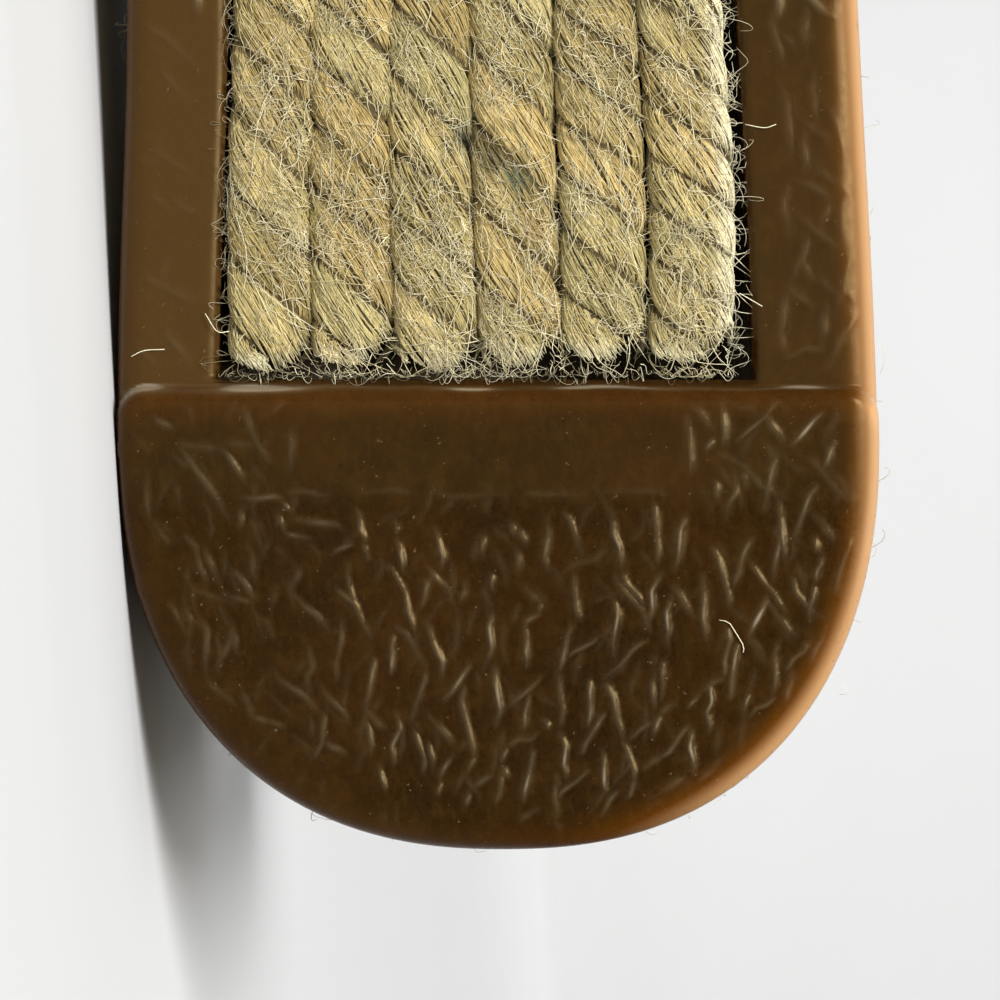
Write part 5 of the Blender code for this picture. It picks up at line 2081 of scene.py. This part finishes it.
def make_blanket_stitches(surface, material):
    """Thread that holds the upper to the rope: bars over its edge, and a line along their tops."""
    loop = outline()
    out = -inward(loop)
    skip = max(1, round(BLANKET_STEP / np.linalg.norm(loop[1] - loop[0])))
    bars = []
    for plan, way in zip(loop[::skip], out[::skip]):
        rise = float(lift(plan[1]))
        low = [(*(plan - inset * way), z + rise) for inset, z in BAR_LOW]
        starts = [(*(plan + RAY_OUT * way), z) for z in BAR_HIGH + rise]
        found, normals = cast(surface, starts, [(*(-way), 0.0)] * len(starts))
        if len(found) == len(starts):
            bars.append(np.vstack([low, found + normals * BAR_OFF[:, None]]))
    bars = np.array(bars)
    around = loop[::LINE_SKIP]
    ways = out[::LINE_SKIP]
    starts = np.column_stack([around + RAY_OUT * ways, BLANKET_TOP - LINE_DOWN + lift(around[:, 1])])
    found, normals = cast(surface, starts, np.column_stack([-ways, np.zeros(len(ways))]))
    line = found + LINE_OFF * normals
    line = np.vstack([line, line[:2]])[None]
    shapes = (
        tubes(bars, np.full(bars.shape[:2], BLANKET_RADIUS), BLANKET_SIDES),
        tubes(line, np.full(line.shape[:2], LINE_SHARE * BLANKET_RADIUS), BLANKET_SIDES),
    )
    thread_piece("blanket_stitches", shapes, material)


def soften_collar(piece):
    """Evens out the folded edge of the collar."""
    select(piece, faces=distance_to(face_centres(piece.data), topline()) < COLLAR_SOFT)
    enter_edit(piece, "FACE")
    bpy.ops.mesh.vertices_smooth(factor=COLLAR_SMOOTH, repeat=COLLAR_ROUNDS)
    leave_edit()


def settle_edge(piece):
    """Brings the lower edge, which the smoothing has drawn up, back down to the rope."""
    points = coordinates(piece.data)
    above = points[:, 2] - FEATHER - lift(points[:, 1])
    points[:, 2] -= EDGE_DRAWN * (1 - ease(EDGE_DRAWN_FROM, EDGE_DRAWN_TO, above))
    set_coordinates(piece.data, points)


def make_upper(material, thread):
    piece = copy_of_node("upper", "canvas_upper")
    unwrapped_map(piece)
    smooth_cage(piece, CAGE_LEVELS)
    soften_collar(piece)
    settle_edge(piece)
    shape_canvas(piece)
    surface = surface_of(piece)
    make_stitches(surface, thread)
    make_blanket_stitches(surface, thread)
    finish_piece(piece, material, "canvas", "upper")


class StrayRow(NamedTuple):
    """A stray fibre on the rubber: the height that it lies at, and its points in plan."""

    height: float
    plan: tuple


STRAYS = (
    StrayRow(-0.12, ((-18.5, 19.3), (-19.3, 19.1), (-19.9, 18.2), (-20.5, 17.2), (-20.5, 16.6))),
    StrayRow(1.25, ((30.6, 41.3), (29.5, 41.8), (27.8, 41.9))),
    StrayRow(1.0, ((24.4, 44.9), (23.4, 43.4), (22.4, 43.4))),
    StrayRow(1.25, ((-20.8, 60.8), (-22.4, 60.5), (-23.4, 60.8))),
    StrayRow(1.25, ((-20.3, 46.6), (-22.2, 45.5))),
)
STRAY_RADIUS = 0.04
STRAY_SIDES = 5
STRAY_ARCH = 0.1


def make_strays(material):
    """A few jute fibres caught on the rubber."""
    t = np.linspace(0, 1, LOOSE_POINTS)
    paths = []
    for row in STRAYS:
        plan = np.array(row.plan)
        at = np.linspace(0, 1, len(plan))
        x, y = (smooth(at, plan[:, k], t) for k in range(2))
        paths.append(np.column_stack([x, y, row.height + lift(y) - STRAY_ARCH * np.sin(np.pi * t)]))
    points, faces = tubes(np.array(paths), np.full((len(paths), len(t)), STRAY_RADIUS), STRAY_SIDES)
    piece = mesh_piece("stray_fibres", points, faces)
    keep_jute(piece.data, np.repeat(JUTE_CREAM[None], len(points), axis=0), lay_of(points))
    finish_piece(piece, material, "jute_rope")


# Floor and backdrop in metres, their linear colours, and the world's light
FLOOR_SIDE = 18
FLOOR_MIDDLE = (0, -6, 0)
BACK_LINE = 2.9
BACK_LOW = 0.1
BACKDROP_HIGH = 3.5
BEND = 1.2
BEND_STEPS = 20
FLOOR_DARK = (0.60, 0.60, 0.595, 1)
FLOOR_LIGHT = (0.64, 0.64, 0.635, 1)
WORLD_COLOUR = (0.95, 0.97, 1.0, 1)
WORLD_LIGHT = 0.14
SHOE_MIDDLE = (0, 0, 0.03)


class LightRow(NamedTuple):
    """A soft square light: place and size in metres, power in watts, and the place that it faces."""

    name: str
    place: tuple
    size: float
    power: float
    aim: tuple


LIGHTS = (
    LightRow("key_above", (-0.35, -1.35, 1.3), 0.8, 52, SHOE_MIDDLE),
    LightRow("top", (0.3, 0.1, 1.9), 1.0, 9, SHOE_MIDDLE),
    LightRow("backdrop", (0.0, 1.2, 1.8), 1.0, 40, (0, 3.0, 0.4)),
)


def floor_material():
    shader = Shader("pale_floor")
    cloud = shader.noise(shader.place(), scale=3.0, detail=2.0, roughness=0.5)
    shader.set(Base_Color=shader.mix(cloud, FLOOR_DARK, FLOOR_LIGHT))
    shader.set(Roughness=0.9, Specular_IOR_Level=0.1)
    return shader.material


def edit_back_edge(floor):
    """Opens the floor in edit mode, with its low back edge selected."""
    middle = coordinates(floor.data)[edge_points(floor.data)].mean(axis=1)
    select(floor, edges=(middle[:, 1] > BACK_LINE) & (middle[:, 2] < BACK_LOW))
    enter_edit(floor, "EDGE")


def make_stage():
    """Pale floor that turns up into a backdrop far behind the shoe."""
    deselect_all()
    bpy.ops.mesh.primitive_plane_add(size=FLOOR_SIDE, location=FLOOR_MIDDLE)
    floor = bpy.context.object
    floor.name = "floor"
    bpy.ops.object.transform_apply(location=True, rotation=True, scale=True)
    edit_back_edge(floor)
    bpy.ops.mesh.extrude_region_move(TRANSFORM_OT_translate={"value": (0, 0, BACKDROP_HIGH)})
    leave_edit()
    edit_back_edge(floor)
    bpy.ops.mesh.bevel(offset=BEND, segments=BEND_STEPS, affect="EDGES")
    leave_edit()
    floor.data.materials.append(floor_material())
    floor.data.shade_smooth()


def add_light(row):
    light = bpy.data.lights.new(row.name, "AREA")
    light.shape = "SQUARE"
    light.size = row.size
    light.energy = row.power
    lamp = bpy.data.objects.new(row.name, light)
    lamp.location = row.place
    lamp.rotation_mode = "QUATERNION"
    lamp.rotation_quaternion = (Vector(row.aim) - Vector(row.place)).to_track_quat("-Z", "Y")
    lamp.visible_camera = False
    bpy.context.collection.objects.link(lamp)


def make_lights():
    world = bpy.data.worlds.new("studio")
    world.use_nodes = True
    back = world.node_tree.nodes["Background"]
    back.inputs["Color"].default_value = WORLD_COLOUR
    back.inputs["Strength"].default_value = WORLD_LIGHT
    bpy.context.scene.world = world
    for row in LIGHTS:
        add_light(row)


def make_camera():
    data = bpy.data.cameras.new("photo_view")
    data.sensor_width = SENSOR
    data.lens = SENSOR * CAMERA_AWAY / (PIXEL * IMAGE_SIDE)
    data.clip_start = CLIP_START
    camera = bpy.data.objects.new("photo_view", data)
    bpy.context.collection.objects.link(camera)
    right, up, back = (SHOE_TURN @ Vector(axis) for axis in ((-1, 0, 0), (0, 1, 0), (0, 0, -1)))
    turn = Matrix((right, up, back)).transposed().to_4x4()
    place = SHOE @ Vector((AIM[0], AIM[1], AIM[2] - CAMERA_AWAY))
    camera.matrix_world = Matrix.Translation(place) @ turn
    bpy.context.scene.camera = camera


def main():
    scene = bpy.context.scene
    scene.view_settings.view_transform = "Standard"
    make_camera()
    make_lights()
    make_stage()
    jute = jute_material()
    make_outsole(rubber_material())
    for index in range(INLAY_ROPES):
        make_inlay_rope(index, jute)
    make_midsole(jute)
    make_upper(weave_material(CANVAS, sewn=True), thread_material())
    make_strays(jute)
    make_insole(weave_material(INSOLE_CLOTH))


main()
